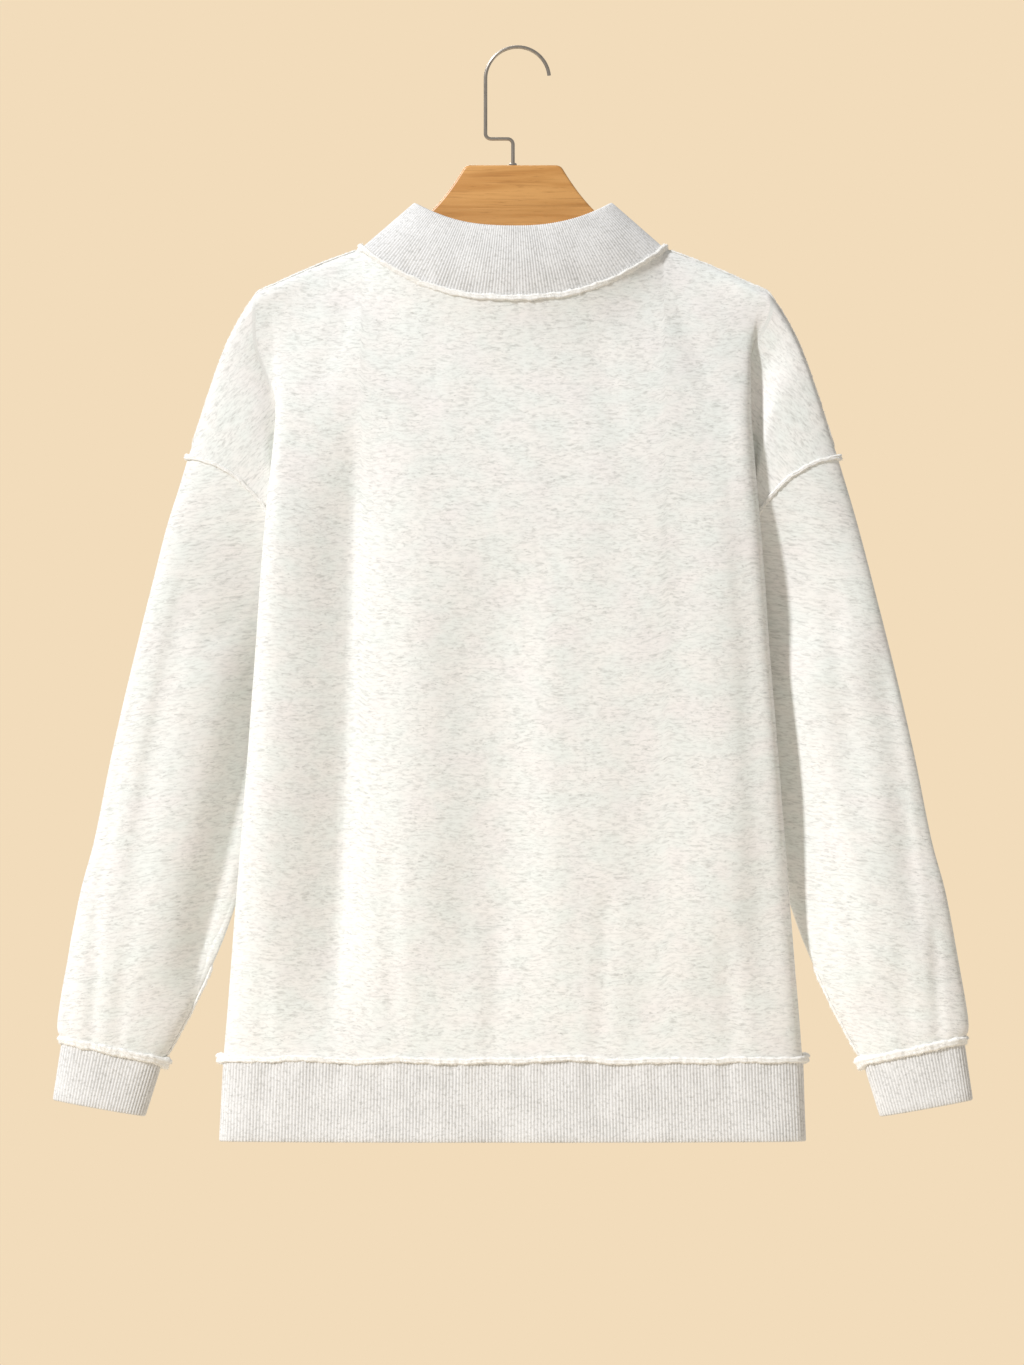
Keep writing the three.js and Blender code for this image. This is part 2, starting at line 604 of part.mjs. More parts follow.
function buildGarment() {
  const group = new THREE.Group();
  const allRound = { top: true, bottom: true, sides: true };
  const back = patch('back_panel', panelGrid(backPoint), FLEECE, false, allRound);
  const front = patch('front_panel', panelGrid(frontPoint), FLEECE, false, allRound);
  const over = COLUMNS.length - 1;
  const down = ROWS.length - 1;

  // Front and back meet in the shoulder, armhole and side seams, so they share those points.
  const neckFrom = WING_STEPS + CREASE_STEPS + YOKE_STEPS;
  const neckTo = over - neckFrom;
  const aroundBody = (row) => [...back.grid[row].slice().reverse(), ...front.grid[row].slice(1, over)];
  const neck = [
    ...back.grid[0].slice(neckFrom, neckTo + 1).reverse(),
    ...front.grid[0].slice(neckFrom + 1, neckTo),
  ];
  const hem = aroundBody(down);
  const armhole = (side) => {
    const column = side > 0 ? over : 0;
    const behind = back.grid.slice(0, ARMHOLE_STEPS + 1).map((row) => row[column]);
    const before = front.grid.slice(1, ARMHOLE_STEPS).map((row) => row[column]);
    return [...behind, ...before.reverse()];
  };

  const pieces = [back, front];
  const ring = (name, grid, thickness, seams) => {
    pieces.push(patch(name, grid, thickness, true, seams));
    return grid;
  };
  ring('collar', collarGrid(neck), RIB, { top: true });
  ring('hem_band', hemGrid(hem), RIB, { top: true });
  const cuffSeams = {};
  const sleeveSeams = {};
  for (const [side, word] of SIDES) {
    const rings = sleeveGrid(side, armhole(side));
    ring(`sleeve_${word}`, rings, FLEECE, { top: true, bottom: true });
    const seam = rings.at(-1);
    const end = tubeRing(side, CUFF_END);
    const middle = seam.map((point, i) => point.clone().lerp(end[i], 0.5));
    ring(`cuff_${word}`, [seam, middle, end], RIB, { top: true });
    cuffSeams[side] = seam;
    sleeveSeams[side] = rings.slice(SLEEVE_SEAM_ROW, -1).map((points) => points[ARMHOLE_STEPS]);
  }

  const normalAt = sharedNormals(pieces);
  const cloth = (colour) => new THREE.MeshStandardMaterial({ color: colour, roughness: 0.95, metalness: 0 });
  const add = (name, geometry, colour) => {
    const mesh = new THREE.Mesh(geometry, cloth(colour));
    mesh.name = name;
    group.add(mesh);
  };
  for (const piece of pieces) {
    add(piece.name, wall(piece, normalAt), piece.thickness === RIB ? COLOURS.rib : COLOURS.fleece);
  }

  // The raw seams, each a ridge over the points where two pieces meet.
  const near = new Map();
  for (const piece of pieces) {
    const { grid, closed } = piece;
    const width = grid[0].length;
    grid.forEach((row, r) => row.forEach((point, c) => {
      const key = keyOf(point);
      if (!near.has(key)) near.set(key, []);
      const beside = closed
        ? [[r, (c + 1) % width], [r, (c + width - 1) % width]]
        : [[r, c + 1], [r, c - 1]];
      for (const [i, j] of [...beside, [r + 1, c], [r - 1, c]]) {
        if (grid[i] && grid[i][j]) near.get(key).push(grid[i][j]);
      }
    }));
  }
  const addRidge = (name, points, looped) => {
    const neighbours = (i) => near.get(keyOf(points[i]));
    add(name, ridge(points, normalAt, neighbours, looped), COLOURS.ridge);
  };
  addRidge('seam_neck', neck, true);
  addRidge('seam_hem', hem, true);
  for (const [side, word] of SIDES) {
    const outward = back.grid[0].slice(side > 0 ? neckTo : 0, side > 0 ? over + 1 : neckFrom + 1);
    const shoulder = side > 0 ? outward : outward.reverse();
    addRidge(`seam_shoulder_${word}`, shoulder.slice(1, -1), false);
    const loop = armhole(side);
    const covered = ARMHOLE_TURNS.indexOf(0.5);
    const behind = loop.slice(0, covered + 1).reverse();
    addRidge(`seam_armhole_${word}`, [...behind, ...loop.slice(ARMHOLE_STEPS + 2).reverse()], false);
    addRidge(`seam_sleeve_${word}`, sleeveSeams[side], false);
    addRidge(`seam_cuff_${word}`, cuffSeams[side], true);
  }
  return group;
}

// ---------------------------------------------------------------- the hanger

/** The board's outline: level top, hollow sides, arms along the shoulders, arched underside. */
function boardShape() {
  const armTop = (t) => ({
    x: alongRows(SHOULDER_ROWS, 'x', t),
    z: alongRows(SHOULDER_ROWS, 'z', t) - ARM_CLEAR,
  });
  const start = { x: NECK_HALF + 2, z: NECK_CORNER_Z - ARM_CLEAR - 6.5 };
  const endTop = armTop(2 / 6);
  const endBottomZ = endTop.z - ARM_HEIGHT;
  const half = [
    ['line', BOARD_TOP_HALF - 3, BOARD_TOP_Z],
    ['curve', BOARD_TOP_HALF + 2, BOARD_TOP_Z, BOARD_TOP_HALF + 4, BOARD_TOP_Z - 4],
    ['curve', 62, -134, 84, -148],
    ['curve', 104, -161, start.x, start.z],
    ['curve', mix(start.x, endTop.x, 0.52), start.z - 9, endTop.x, endTop.z],
    ['curve', ARM_END_X + 7, endTop.z - 4, ARM_END_X + 6, endTop.z - 14],
    ['curve', ARM_END_X + 5, endBottomZ + 2, ARM_END_X - 8, endBottomZ + 3],
    ['curve', 110, -190, 0, BOARD_CENTRE_BOTTOM_Z],
  ];
  const shape = new THREE.Shape();
  shape.moveTo(0, BOARD_TOP_Z);
  for (const [kind, ...to] of half) {
    if (kind === 'line') shape.lineTo(...to);
    else shape.quadraticCurveTo(...to);
  }
  // The other half, run backwards and mirrored.
  let here = half.length - 1;
  while (here > 0) {
    const [kind, ...to] = half[here];
    const target = half[here - 1].slice(-2);
    if (kind === 'line') shape.lineTo(-target[0], target[1]);
    else shape.quadraticCurveTo(-to[0], to[1], -target[0], target[1]);
    here -= 1;
  }
  shape.closePath();
  return shape;
}

/** The wire's centre line: up the stem, along the jog, up the rise and over the crown. */
function hookCurve() {
  const riseX = HOOK_CENTRE.x + HOOK_RADIUS;
  const path = new THREE.Path();
  path.moveTo(0, BOARD_TOP_Z - STEM_DEPTH);
  path.lineTo(0, JOG_Z - BEND);
  path.absarc(BEND, JOG_Z - BEND, BEND, Math.PI, Math.PI / 2, true);
  path.lineTo(riseX - BEND, JOG_Z);
  path.absarc(riseX - BEND, JOG_Z + BEND, BEND, -Math.PI / 2, 0, false);
  path.lineTo(riseX, HOOK_CENTRE.z);
  const tip = THREE.MathUtils.degToRad(HOOK_TIP_ANGLE);
  path.absarc(HOOK_CENTRE.x, HOOK_CENTRE.z, HOOK_RADIUS, 0, tip, false);
  const points = path.getPoints(9).map((p) => new THREE.Vector3(p.x, 0, p.y));
  const curve = new THREE.CurvePath();
  for (let i = 1; i < points.length; i += 1) {
    if (points[i].distanceTo(points[i - 1]) > 0.01) {
      curve.add(new THREE.LineCurve3(points[i - 1], points[i]));
    }
  }
  return curve;
}

function circle(radius, sides) {
  const shape = new THREE.Shape();
  for (let i = 0; i < sides; i += 1) {
    const turn = (i / sides) * 2 * Math.PI;
    if (i === 0) shape.moveTo(radius, 0);
    else shape.lineTo(radius * Math.cos(turn), radius * Math.sin(turn));
  }
  shape.closePath();
  return shape;
}

/** Cuts a tool out of a body, both given as closed geometries. */
async function subtract(body, tool) {
  const wasm = await Module();
  wasm.setup();
  const solidOf = (geometry) => {
    const bare = geometry.clone();
    bare.deleteAttribute('normal');
    bare.deleteAttribute('uv');
    const merged = mergeVertices(bare.index ? bare.toNonIndexed() : bare, 1e-3);
    return new wasm.Manifold(new wasm.Mesh({
      numProp: 3,
      vertProperties: new Float32Array(merged.attributes.position.array),
      triVerts: new Uint32Array(merged.index.array),
    }));
  };
  const cut = solidOf(body).subtract(solidOf(tool)).getMesh();
  const geometry = new THREE.BufferGeometry();
  geometry.setAttribute('position', new THREE.BufferAttribute(new Float32Array(cut.vertProperties), 3));
  geometry.setIndex(new THREE.BufferAttribute(new Uint32Array(cut.triVerts), 1));
  geometry.computeVertexNormals();
  return geometry;
}

async function buildHanger() {
  const group = new THREE.Group();
  const add = (name, geometry, colour, roughness, metalness) => {
    const material = new THREE.MeshStandardMaterial({ color: colour, roughness, metalness });
    const mesh = new THREE.Mesh(geometry, material);
    mesh.name = name;
    group.add(mesh);
  };
  const board = new THREE.ExtrudeGeometry(boardShape(), {
    depth: BOARD - 2 * BOARD_BEVEL, curveSegments: 7,
    bevelEnabled: true, bevelSize: BOARD_BEVEL, bevelOffset: -BOARD_BEVEL,
    bevelThickness: BOARD_BEVEL, bevelSegments: 2,
  });
  board.translate(0, 0, BOARD_BEVEL - BOARD / 2);
  board.rotateX(Math.PI / 2);
  const hole = new THREE.CylinderGeometry(WIRE / 2 + 0.5, WIRE / 2 + 0.5, 2 * STEM_DEPTH + 2, 12);
  hole.rotateX(Math.PI / 2);
  hole.translate(0, 0, BOARD_TOP_Z);
  add('hanger_wood', await subtract(board, hole), COLOURS.wood, 0.5, 0);

  const curve = hookCurve();
  const steps = 64;
  const wire = new THREE.ExtrudeGeometry(circle(WIRE / 2, 8), { steps, extrudePath: curve });
  wire.deleteAttribute('uv');
  wire.deleteAttribute('normal');
  add('hanger_hook', mergeVertices(wire, 1e-3), COLOURS.wire, 0.3, 1);

  const { inner, outer, height } = FERRULE;
  const base = BOARD_TOP_Z + SEAM_GAP;
  const profile = [[inner, base], [outer, base], [outer, base + height * 0.6], [inner + 0.4, base + height],
    [inner, base + height], [inner, base]].map(([r, z]) => new THREE.Vector2(r, z));
  const ferrule = new THREE.LatheGeometry(profile, 16);
  ferrule.rotateX(Math.PI / 2);
  ferrule.deleteAttribute('uv');
  ferrule.deleteAttribute('normal');
  add('hanger_ferrule', mergeVertices(ferrule, 1e-3), COLOURS.wire, 0.3, 1);
  return group;
}

const part = new THREE.Group();
part.add(buildGarment());
part.add(await buildHanger());

export default part;
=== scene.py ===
"""A tunic sweatshirt with raw outside seams, hanging on a flat wooden hanger.

The garment is a set of thin cloth shells. Each one is a grid of points on the hanging form, with
soft folds pressed into it, a wall thickness and a finish of its own. Lengths are millimetres until
a mesh is made, and every mesh is in metres in the shared frame: the origin is the inside of the
hook's crown, +Z is up, the garment's back faces +Y and the wearer's left is +X.
"""

import logging
import math
import random
from dataclasses import dataclass, field
from enum import Enum
from typing import Callable, NamedTuple, Optional, Sequence

import bpy
import numpy as np
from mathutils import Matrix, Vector


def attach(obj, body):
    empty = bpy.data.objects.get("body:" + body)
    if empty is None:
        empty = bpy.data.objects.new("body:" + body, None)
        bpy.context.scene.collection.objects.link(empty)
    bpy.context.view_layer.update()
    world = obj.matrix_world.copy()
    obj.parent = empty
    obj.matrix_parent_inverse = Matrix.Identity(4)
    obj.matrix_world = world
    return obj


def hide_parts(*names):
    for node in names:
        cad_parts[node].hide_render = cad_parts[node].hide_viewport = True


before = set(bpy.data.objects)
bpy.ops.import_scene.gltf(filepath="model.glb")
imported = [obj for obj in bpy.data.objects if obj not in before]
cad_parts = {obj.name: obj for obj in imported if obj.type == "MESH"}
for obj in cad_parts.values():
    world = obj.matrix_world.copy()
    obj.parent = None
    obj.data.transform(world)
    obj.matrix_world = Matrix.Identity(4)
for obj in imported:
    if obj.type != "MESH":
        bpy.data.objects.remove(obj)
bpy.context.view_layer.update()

logging.basicConfig(level=logging.INFO, format="%(message)s")
log = logging.getLogger("sweatshirt")

MM = 0.001
BODY = "root"
SEED = 7
SIDES = ((1, "left"), (-1, "right"))


# ---------------------------------------------------------------- numbers and small curves


def clamp(value: float, low: float, high: float) -> float:
    """Keeps a value between two limits."""
    return min(high, max(low, value))


def mix(a: float, b: float, t: float) -> float:
    """Goes from a to b as t goes from 0 to 1."""
    return a + (b - a) * t


def ease(value: float) -> float:
    """A smooth step from 0 to 1."""
    t = clamp(value, 0.0, 1.0)
    return t * t * (3 - 2 * t)


def soft_step(value: np.ndarray) -> np.ndarray:
    """The same smooth step for an array."""
    t = np.clip(value, 0.0, 1.0)
    return t * t * (3 - 2 * t)


def quarter_round(value: float) -> float:
    """A quarter of a circle, steep at 0 and level at 1."""
    t = clamp(value, 0.0, 1.0)
    return math.sqrt(1 - (1 - t) ** 2)


def along_rows(rows: Sequence[NamedTuple], column: str, t: float) -> float:
    """Reads one column of a table of evenly spaced rows by a Catmull-Rom curve.

    Args:
        rows: The table.
        column: The name of the column.
        t: The place along the table, from 0 to 1.

    Returns:
        The value at that place.
    """
    last = len(rows) - 1
    place = clamp(t, 0.0, 1.0) * last
    i = min(int(place), last - 1)
    f = place - i
    a, b, c, d = (getattr(rows[min(last, max(0, k))], column) for k in (i - 1, i, i + 1, i + 2))
    start = (c - a) / (1 if i == 0 else 2)
    end = (d - b) / (1 if i == last - 1 else 2)
    values = b * (2 * f**3 - 3 * f**2 + 1) + c * (3 * f**2 - 2 * f**3)
    return values + start * (f**3 - 2 * f**2 + f) + end * (f**3 - f**2)


class Wander:
    """A smooth random curve: a few sines with seeded phases."""

    def __init__(self, seed: int, lengths: Sequence[float]) -> None:
        """Draws the phases.

        Args:
            seed: The seed of the phases.
            lengths: The wave lengths in millimetres.
        """
        draw = random.Random(seed)
        self.waves = [(2 * math.pi / length, draw.uniform(0, 2 * math.pi)) for length in lengths]

    def at(self, place: np.ndarray) -> np.ndarray:
        """The curve's height, within -1 and 1, at places along it in millimetres."""
        return sum(np.sin(k * place + phase) for k, phase in self.waves) / len(self.waves)


# ---------------------------------------------------------------- the hanging form


class ShoulderRow(NamedTuple):
    """A point of the shoulder seam."""

    x: float
    z: float


class BodyRow(NamedTuple):
    """The body's depth at one height."""

    back: float
    front: float
    fold_y: float


class SleeveRow(NamedTuple):
    """One flattened ring of a sleeve: its outer and inner folds, half depth and forward tuck."""

    outer_x: float
    outer_z: float
    inner_x: float
    inner_z: float
    half: float
    tuck: float


class Crease(NamedTuple):
    """The long fold where the back's edge lies over the sleeve."""

    overlap: float
    valley_y: float
    floor: bool
    start_z: float
    full_z: float


@dataclass(frozen=True)
class Form:
    """The garment's shape as it hangs, in millimetres, one surface for each panel."""

    neck_half: float = 126.0
    neck_corner_z: float = -166.0
    neck_depth: float = 34.0
    neck_back_z: float = -209.0
    neck_front_z: float = -250.0
    tip: ShoulderRow = ShoulderRow(271.0, -341.0)
    underarm: ShoulderRow = ShoulderRow(186.0, -452.0)
    hem_seam_z: float = -842.0
    hem_neck_x: float = 130.0
    side_round: float = 6.0
    armhole_depth: float = 12.0
    shoulder_round: float = 9.0
    shoulder_ease: float = 140.0
    body_top_z: float = -200.0
    body_length: float = 640.0
    crease_top: ShoulderRow = ShoulderRow(198.0, -310.0)
    crease_slope: float = 0.081
    wing_bulge: float = 7.0
    side_inset: float = 24.0
    side_fade: float = 38.0
    side_turn: float = 11.0
    side_length: float = 340.0
    shoulder: tuple = (
        ShoulderRow(126, -166), ShoulderRow(163, -180), ShoulderRow(199, -196), ShoulderRow(208, -200),
        ShoulderRow(217, -208), ShoulderRow(241, -252), ShoulderRow(271, -341),
    )
    body: tuple = (
        BodyRow(34, 32, 9), BodyRow(39, 34, 20), BodyRow(39, 34, 21), BodyRow(36, 33, 18.5),
        BodyRow(30, 30, 9),
    )
    sleeve: tuple = (
        SleeveRow(271, -341, 186, -452, 12, 0), SleeveRow(287, -395, 193, -508, 13, 14),
        SleeveRow(304, -460, 198, -565, 14, 16), SleeveRow(320.5, -526, 206, -620, 14, 15),
        SleeveRow(335.5, -592, 220, -676, 14, 10), SleeveRow(349, -659, 237, -730, 14, 6),
        SleeveRow(361, -704, 252, -767, 14, 2), SleeveRow(371.5, -760, 267, -799, 14, 0),
        SleeveRow(380, -812, 283, -829, 14, 0), SleeveRow(376, -826, 292, -844, 12.5, 0),
    )
    cuff_end: SleeveRow = SleeveRow(383.5, -875, 306, -889, 12, 0)
    left_crease: Crease = Crease(3, 6, False, -238, -310)
    right_crease: Crease = Crease(3, 2, True, -216, -268)

    def crease(self, side: int) -> Crease:
        """The crease on one side, 1 for the wearer's left and -1 for the right."""
        return self.left_crease if side > 0 else self.right_crease

    def body_row(self, column: str, z: float) -> float:
        """The body's depth table at a height."""
        return along_rows(self.body, column, (self.body_top_z - z) / self.body_length)

    def top_edge(self, face: int, s: float) -> tuple:
        """A point of a panel's top edge: half the neck seam, then the shoulder seam.

        Args:
            face: 1 for the back and -1 for the front.
            s: Across the panel, as in back_point.

        Returns:
            The point, in millimetres.
        """
        a = abs(s)
        side = -1 if s < 0 else 1
        if a <= 1:
            turn = a * math.pi / 2
            x = self.neck_half * math.sin(turn)
            low = self.neck_back_z if face > 0 else self.neck_front_z
            z = low + (self.neck_corner_z - low) * (x / self.neck_half) ** 2.4
            return side * x, face * self.neck_depth * max(0.0, math.cos(turn)) ** 0.9, z
        t = (a - 1) / 3
        return side * along_rows(self.shoulder, "x", t), 0.0, along_rows(self.shoulder, "z", t)

    def level_at(self, s: float, v: float, top_z: float) -> float:
        """The height of a place: quick below the shoulders, slow along the armhole seam.

        Args:
            s: Across the panel, as in back_point.
            v: Down the panel, as in back_point.
            top_z: The height of the top edge there.

        Returns:
            The height, in millimetres.
        """
        if v > 1:
            return mix(self.underarm.z, self.hem_seam_z, v - 1)
        fall = (1 - math.cos(v * math.pi / 2)) ** 0.9
        return mix(top_z, self.underarm.z, mix(v**0.8, fall, clamp(abs(s) - 3, 0, 1)))

    def crease_x(self, z: float) -> float:
        """How far out the back's folded edge lies at a height."""
        return self.crease_top.x + self.crease_slope * max(0.0, self.crease_top.z - z)

    def outer_edge(self, face: int, side: int, v: float) -> tuple:
        """A point of a panel's outer edge: the armhole seam, then the side seam.

        Args:
            face: 1 for the back and -1 for the front.
            side: 1 for the wearer's left and -1 for the right.
            v: Down the panel, as in back_point.

        Returns:
            The point, in millimetres.
        """
        z = self.level_at(4, v, self.tip.z)
        if v <= 1:
            x = self.tip.x - (self.tip.x - self.underarm.x) * math.sin(v * math.pi / 2)
            return side * x, face * self.armhole_depth * max(0.0, math.sin(math.pi * v**0.6)) ** 0.8, z
        below = self.underarm.z - z
        seam_x = self.crease_x(z) - self.side_inset * math.exp(-below / self.side_fade)
        turned = math.sin(math.pi * clamp(below / self.side_length, 0, 1))
        x = mix(seam_x, self.underarm.x, math.exp(-below / 12))
        return side * x, self.side_turn * max(0.0, turned) ** 0.65, z

    def over_shoulder(self, top_y: float, drop: float, full: float) -> float:
        """How far the cloth stands off the shoulders' plane at a drop below the top edge.

        Args:
            top_y: How far the top edge stands off.
            drop: How far below the top edge the place is.
            full: How far the cloth stands off well below it.

        Returns:
            The distance, in millimetres.
        """
        hang = max(top_y, self.shoulder_round)
        over = top_y + (hang - top_y) * quarter_round(drop / self.shoulder_round)
        return over + (full - hang) * ease(drop / self.shoulder_ease)

    def back_body(self, s: float, v: float) -> tuple:
        """The back between its centre and the crease.

        Args:
            s: Across the panel, as in back_point.
            v: Down the panel, as in back_point.

        Returns:
            The point, in millimetres.
        """
        a = abs(s)
        side = -1 if s < 0 else 1
        top = self.top_edge(1, s)
        z = self.level_at(s, v, top[2])
        drop = top[2] - z
        inner = mix(abs(self.top_edge(1, min(a, 1))[0]), self.hem_neck_x * min(a, 1), v / 2)
        target = inner if a <= 1 else mix(inner, self.crease_x(z), a - 1)
        x = mix(abs(top[0]), target, ease(drop / 50))
        fold_y = self.body_row("fold_y", z)
        ratio = clamp(x / self.crease_x(z), 0, 1)
        depth = fold_y + (self.body_row("back", z) - fold_y) * math.sqrt(1 - ratio**2.6)
        return side * x, self.over_shoulder(top[1], drop, depth), z

    def back_point(self, s: float, v: float) -> tuple:
        """The back panel's surface.

        Args:
            s: Across the panel: 0 centre, 1 neck corner, 2 crease, 3 valley, 4 outer seam.
            v: Down the panel: 0 top edge, 1 level with the underarm, 2 hem seam.

        Returns:
            The point, in millimetres.
        """
        a = abs(s)
        side = -1 if s < 0 else 1
        if v == 0:
            return self.top_edge(1, s)
        edge = self.outer_edge(1, side, v)
        if a >= 4:
            return edge
        if a <= 2:
            return self.back_body(s, v)
        top3 = self.top_edge(1, 3 * side)
        z3 = self.level_at(3, v, top3[2])
        fold = self.crease(side)
        crease = self.back_body(2 * side, v)
        formed = ease((fold.start_z - z3) / (fold.start_z - fold.full_z))
        closed = ease((v - 0.5) / 0.35)
        flat = self.over_shoulder(0.0, top3[2] - z3, self.shoulder_round)
        valley_x = mix(abs(top3[0]), self.crease_x(z3) - fold.overlap, formed)
        valley_x = mix(valley_x, mix(abs(crease[0]), abs(edge[0]), 0.4), closed)
        valley_y = mix(mix(flat, fold.valley_y, formed), mix(crease[1], edge[1], 0.55), closed)
        top = self.top_edge(1, s)
        z = self.level_at(s, v, top[2])
        if a <= 3:
            turn = (a - 2) * math.pi / 2
            across = mix(a - 2, 1 - math.cos(turn), formed)
            inwards = mix(a - 2, math.sin(turn), formed * (1 - 0.5 * closed))
            level = mix(abs(self.top_edge(1, 2)[0]), abs(self.top_edge(1, 3)[0]), across)
            off = (1 - ease(v / 0.2)) * (abs(top[0]) - level)
            x = mix(abs(crease[0]), valley_x, across) + off
            return side * x, mix(crease[1], valley_y, inwards), z
        q = a - 3
        level = mix(abs(self.top_edge(1, 3)[0]), self.tip.x, q)
        off = (1 - ease(v / 0.5)) * (abs(top[0]) - level)
        rise = ease((q - 0.26) / 0.34) - q if fold.floor else math.sin(math.pi * q) * 0.5
        bulge = formed * (1 - closed) * self.wing_bulge * rise
        return side * (mix(valley_x, abs(edge[0]), q) + off), mix(valley_y, edge[1], q) + bulge, z

    def front_point(self, s: float, v: float) -> tuple:
        """The front panel's surface, which has no fold over the sleeve.

        Args:
            s: Across the panel, as in back_point.
            v: Down the panel, as in back_point.

        Returns:
            The point, in millimetres.
        """
        a = abs(s)
        side = -1 if s < 0 else 1
        if v == 0:
            return self.top_edge(-1, s)
        edge = self.outer_edge(-1, side, v)
        if a >= 4:
            return edge
        top = self.top_edge(-1, s)
        z = self.level_at(s, v, top[2])
        reach = abs(edge[0])
        w = max(0.0, a - 1) / 3
        inner = mix(abs(self.top_edge(-1, min(a, 1))[0]), self.hem_neck_x * min(a, 1), v / 2)
        off = (1 - ease(v / 0.5)) * (abs(top[0]) - mix(self.neck_half, self.tip.x, w))
        x = inner if a <= 1 else mix(inner, reach, w) + off
        below = ease(v - 0.2)
        shape = (1 - clamp(x / reach, 0, 1) ** mix(2.2, 1.6, below)) ** mix(0.6, 0.9, below)
        turned = self.side_round * below * quarter_round((reach - x) / 9)
        full = turned - edge[1] + (self.body_row("front", z) + edge[1] - turned) * shape
        return side * x, -self.over_shoulder(-top[1], top[2] - z, full), z

    def tube_ring(self, side: int, row: SleeveRow, turns: Sequence[float]) -> np.ndarray:
        """A closed ring of a flattened tube, in half turns from the outer fold over the back.

        Args:
            side: 1 for the wearer's left and -1 for the right.
            row: The ring's sizes.
            turns: The places round the ring, from 0 to 2.

        Returns:
            The ring's points, shape (turns, 3).
        """
        points = []
        for turn in turns:
            c = math.cos(turn * math.pi)
            s = math.sin(turn * math.pi)
            across = (1 - math.copysign(abs(c) ** 0.85, c)) / 2
            depth = row.half * math.copysign(abs(s) ** 0.85, s)
            x = mix(row.outer_x, row.inner_x, across)
            points.append((side * x, depth - row.tuck * across, mix(row.outer_z, row.inner_z, across)))
        return np.array(points)

    def sleeve_row(self, w: float) -> SleeveRow:
        """The sleeve's ring sizes at a place from the armhole, 0, to the cuff seam, 1."""
        return SleeveRow(*(along_rows(self.sleeve, name, w) for name in SleeveRow._fields))


FORM = Form()


def spaced(stops: Sequence[tuple]) -> list:
    """Places along a line, from a list of (from, to, steps), with the last end added."""
    places = [mix(a, b, i / steps) for a, b, steps in stops for i in range(steps)]
    return places + [stops[-1][1]]


HALF_COLUMNS = spaced([(0, 1, 27), (1, 2, 20), (2, 3, 9), (3, 4, 22)])
COLUMNS = [-s for s in reversed(HALF_COLUMNS[1:])] + HALF_COLUMNS
ARMHOLE_STEPS = 52
ARMHOLE_TURNS = [(i / ARMHOLE_STEPS) ** 1.5 for i in range(ARMHOLE_STEPS + 1)]
BODY_STEPS = 72
ROWS = ARMHOLE_TURNS + [1 + (i + 1) / BODY_STEPS for i in range(BODY_STEPS)]
RING_TURNS = ARMHOLE_TURNS + [2 - turn for turn in reversed(ARMHOLE_TURNS[1:-1])]
SLEEVE_STEPS = 96


# ---------------------------------------------------------------- folds pressed into the cloth


@dataclass(frozen=True)
class Fold:
    """A soft trough, or a ridge where depth is negative, along a slightly bowed line.

    wide is its half width on the +X side and narrow on the -X side, so that one side is steeper. A
    crisp fold meets its line at an angle, as where hanging cloth doubles back.
    """

    x0: float
    z0: float
    x1: float
    z1: float
    wide: float
    narrow: float
    depth: float
    bow: float = 0.0
    fade: float = 0.25
    crisp: bool = False

    def depth_at(self, x: np.ndarray, z: np.ndarray) -> np.ndarray:
        """The fold's depth at places given by their x and z, in millimetres.

        Args:
            x: The places' x.
            z: The places' z.

        Returns:
            The depths, in the places' shape.
        """
        run = np.array([self.x1 - self.x0, self.z1 - self.z0])
        length = float(np.linalg.norm(run))
        along = ((x - self.x0) * run[0] + (z - self.z0) * run[1]) / length**2
        across = ((z - self.z0) * run[0] - (x - self.x0) * run[1]) / length
        if run[1] > 0:
            across = -across
        across = across - self.bow * np.sin(np.pi * np.clip(along, 0, 1))
        ends = soft_step(along / self.fade) * soft_step((1 - along) / self.fade)
        width = np.where(across > 0, self.wide, self.narrow)
        q = np.clip(np.abs(across) / width, 0, 1)
        return self.depth * ends * ((1 - q) ** 1.7 if self.crisp else (1 - q * q) ** 2)


BACK_FOLDS = (
    Fold(131, -262, 153, -866, 80, 58, 15.0, bow=-3.0, fade=0.24, crisp=True),
    Fold(188, -310, 208, -856, 26, 54, -5.0, fade=0.2),
    Fold(14, -380, 2, -856, 64, 50, 6.0, bow=5.0, fade=0.3),
    Fold(-96, -460, -112, -856, 40, 36, 1.6, bow=-5.0, fade=0.3),
    Fold(-172, -300, -190, -846, 46, 22, -2.8, bow=3.0),
    Fold(-186, -262, -203, -520, 14, 20, -1.6, fade=0.3),
    Fold(104, -640, 96, -850, 16, 12, 1.5),
    Fold(12, -700, 18, -856, 14, 16, 1.3),
    Fold(-78, -680, -70, -856, 12, 16, 1.4),
    Fold(-176, -720, -182, -856, 12, 14, 1.3),
    Fold(206, -740, 208, -856, 12, 10, 1.2),
    Fold(120, -176, 168, -300, 18, 14, 1.0),
    Fold(-122, -178, -170, -300, 14, 18, 1.1),
    Fold(60, -222, 84, -330, 16, 18, 0.7),
    Fold(-66, -222, -92, -350, 18, 16, 0.8),
)

FRONT_FOLDS = (
    Fold(-128, -300, -134, -838, 18, 40, 4.6, bow=-2.0, fade=0.18),
    Fold(-30, -340, -38, -842, 34, 40, 1.6, bow=4.0),
    Fold(62, -330, 70, -842, 36, 30, 1.5, bow=-4.0),
    Fold(140, -320, 150, -842, 30, 24, 2.4, bow=3.0),
    Fold(104, -700, 100, -856, 14, 12, 1.3),
    Fold(6, -690, 10, -856, 14, 16, 1.4),
    Fold(-84, -700, -88, -856, 14, 14, 1.3),
    Fold(112, -186, 60, -330, 16, 18, 1.1),
    Fold(-112, -186, -62, -330, 16, 18, 1.1),
)

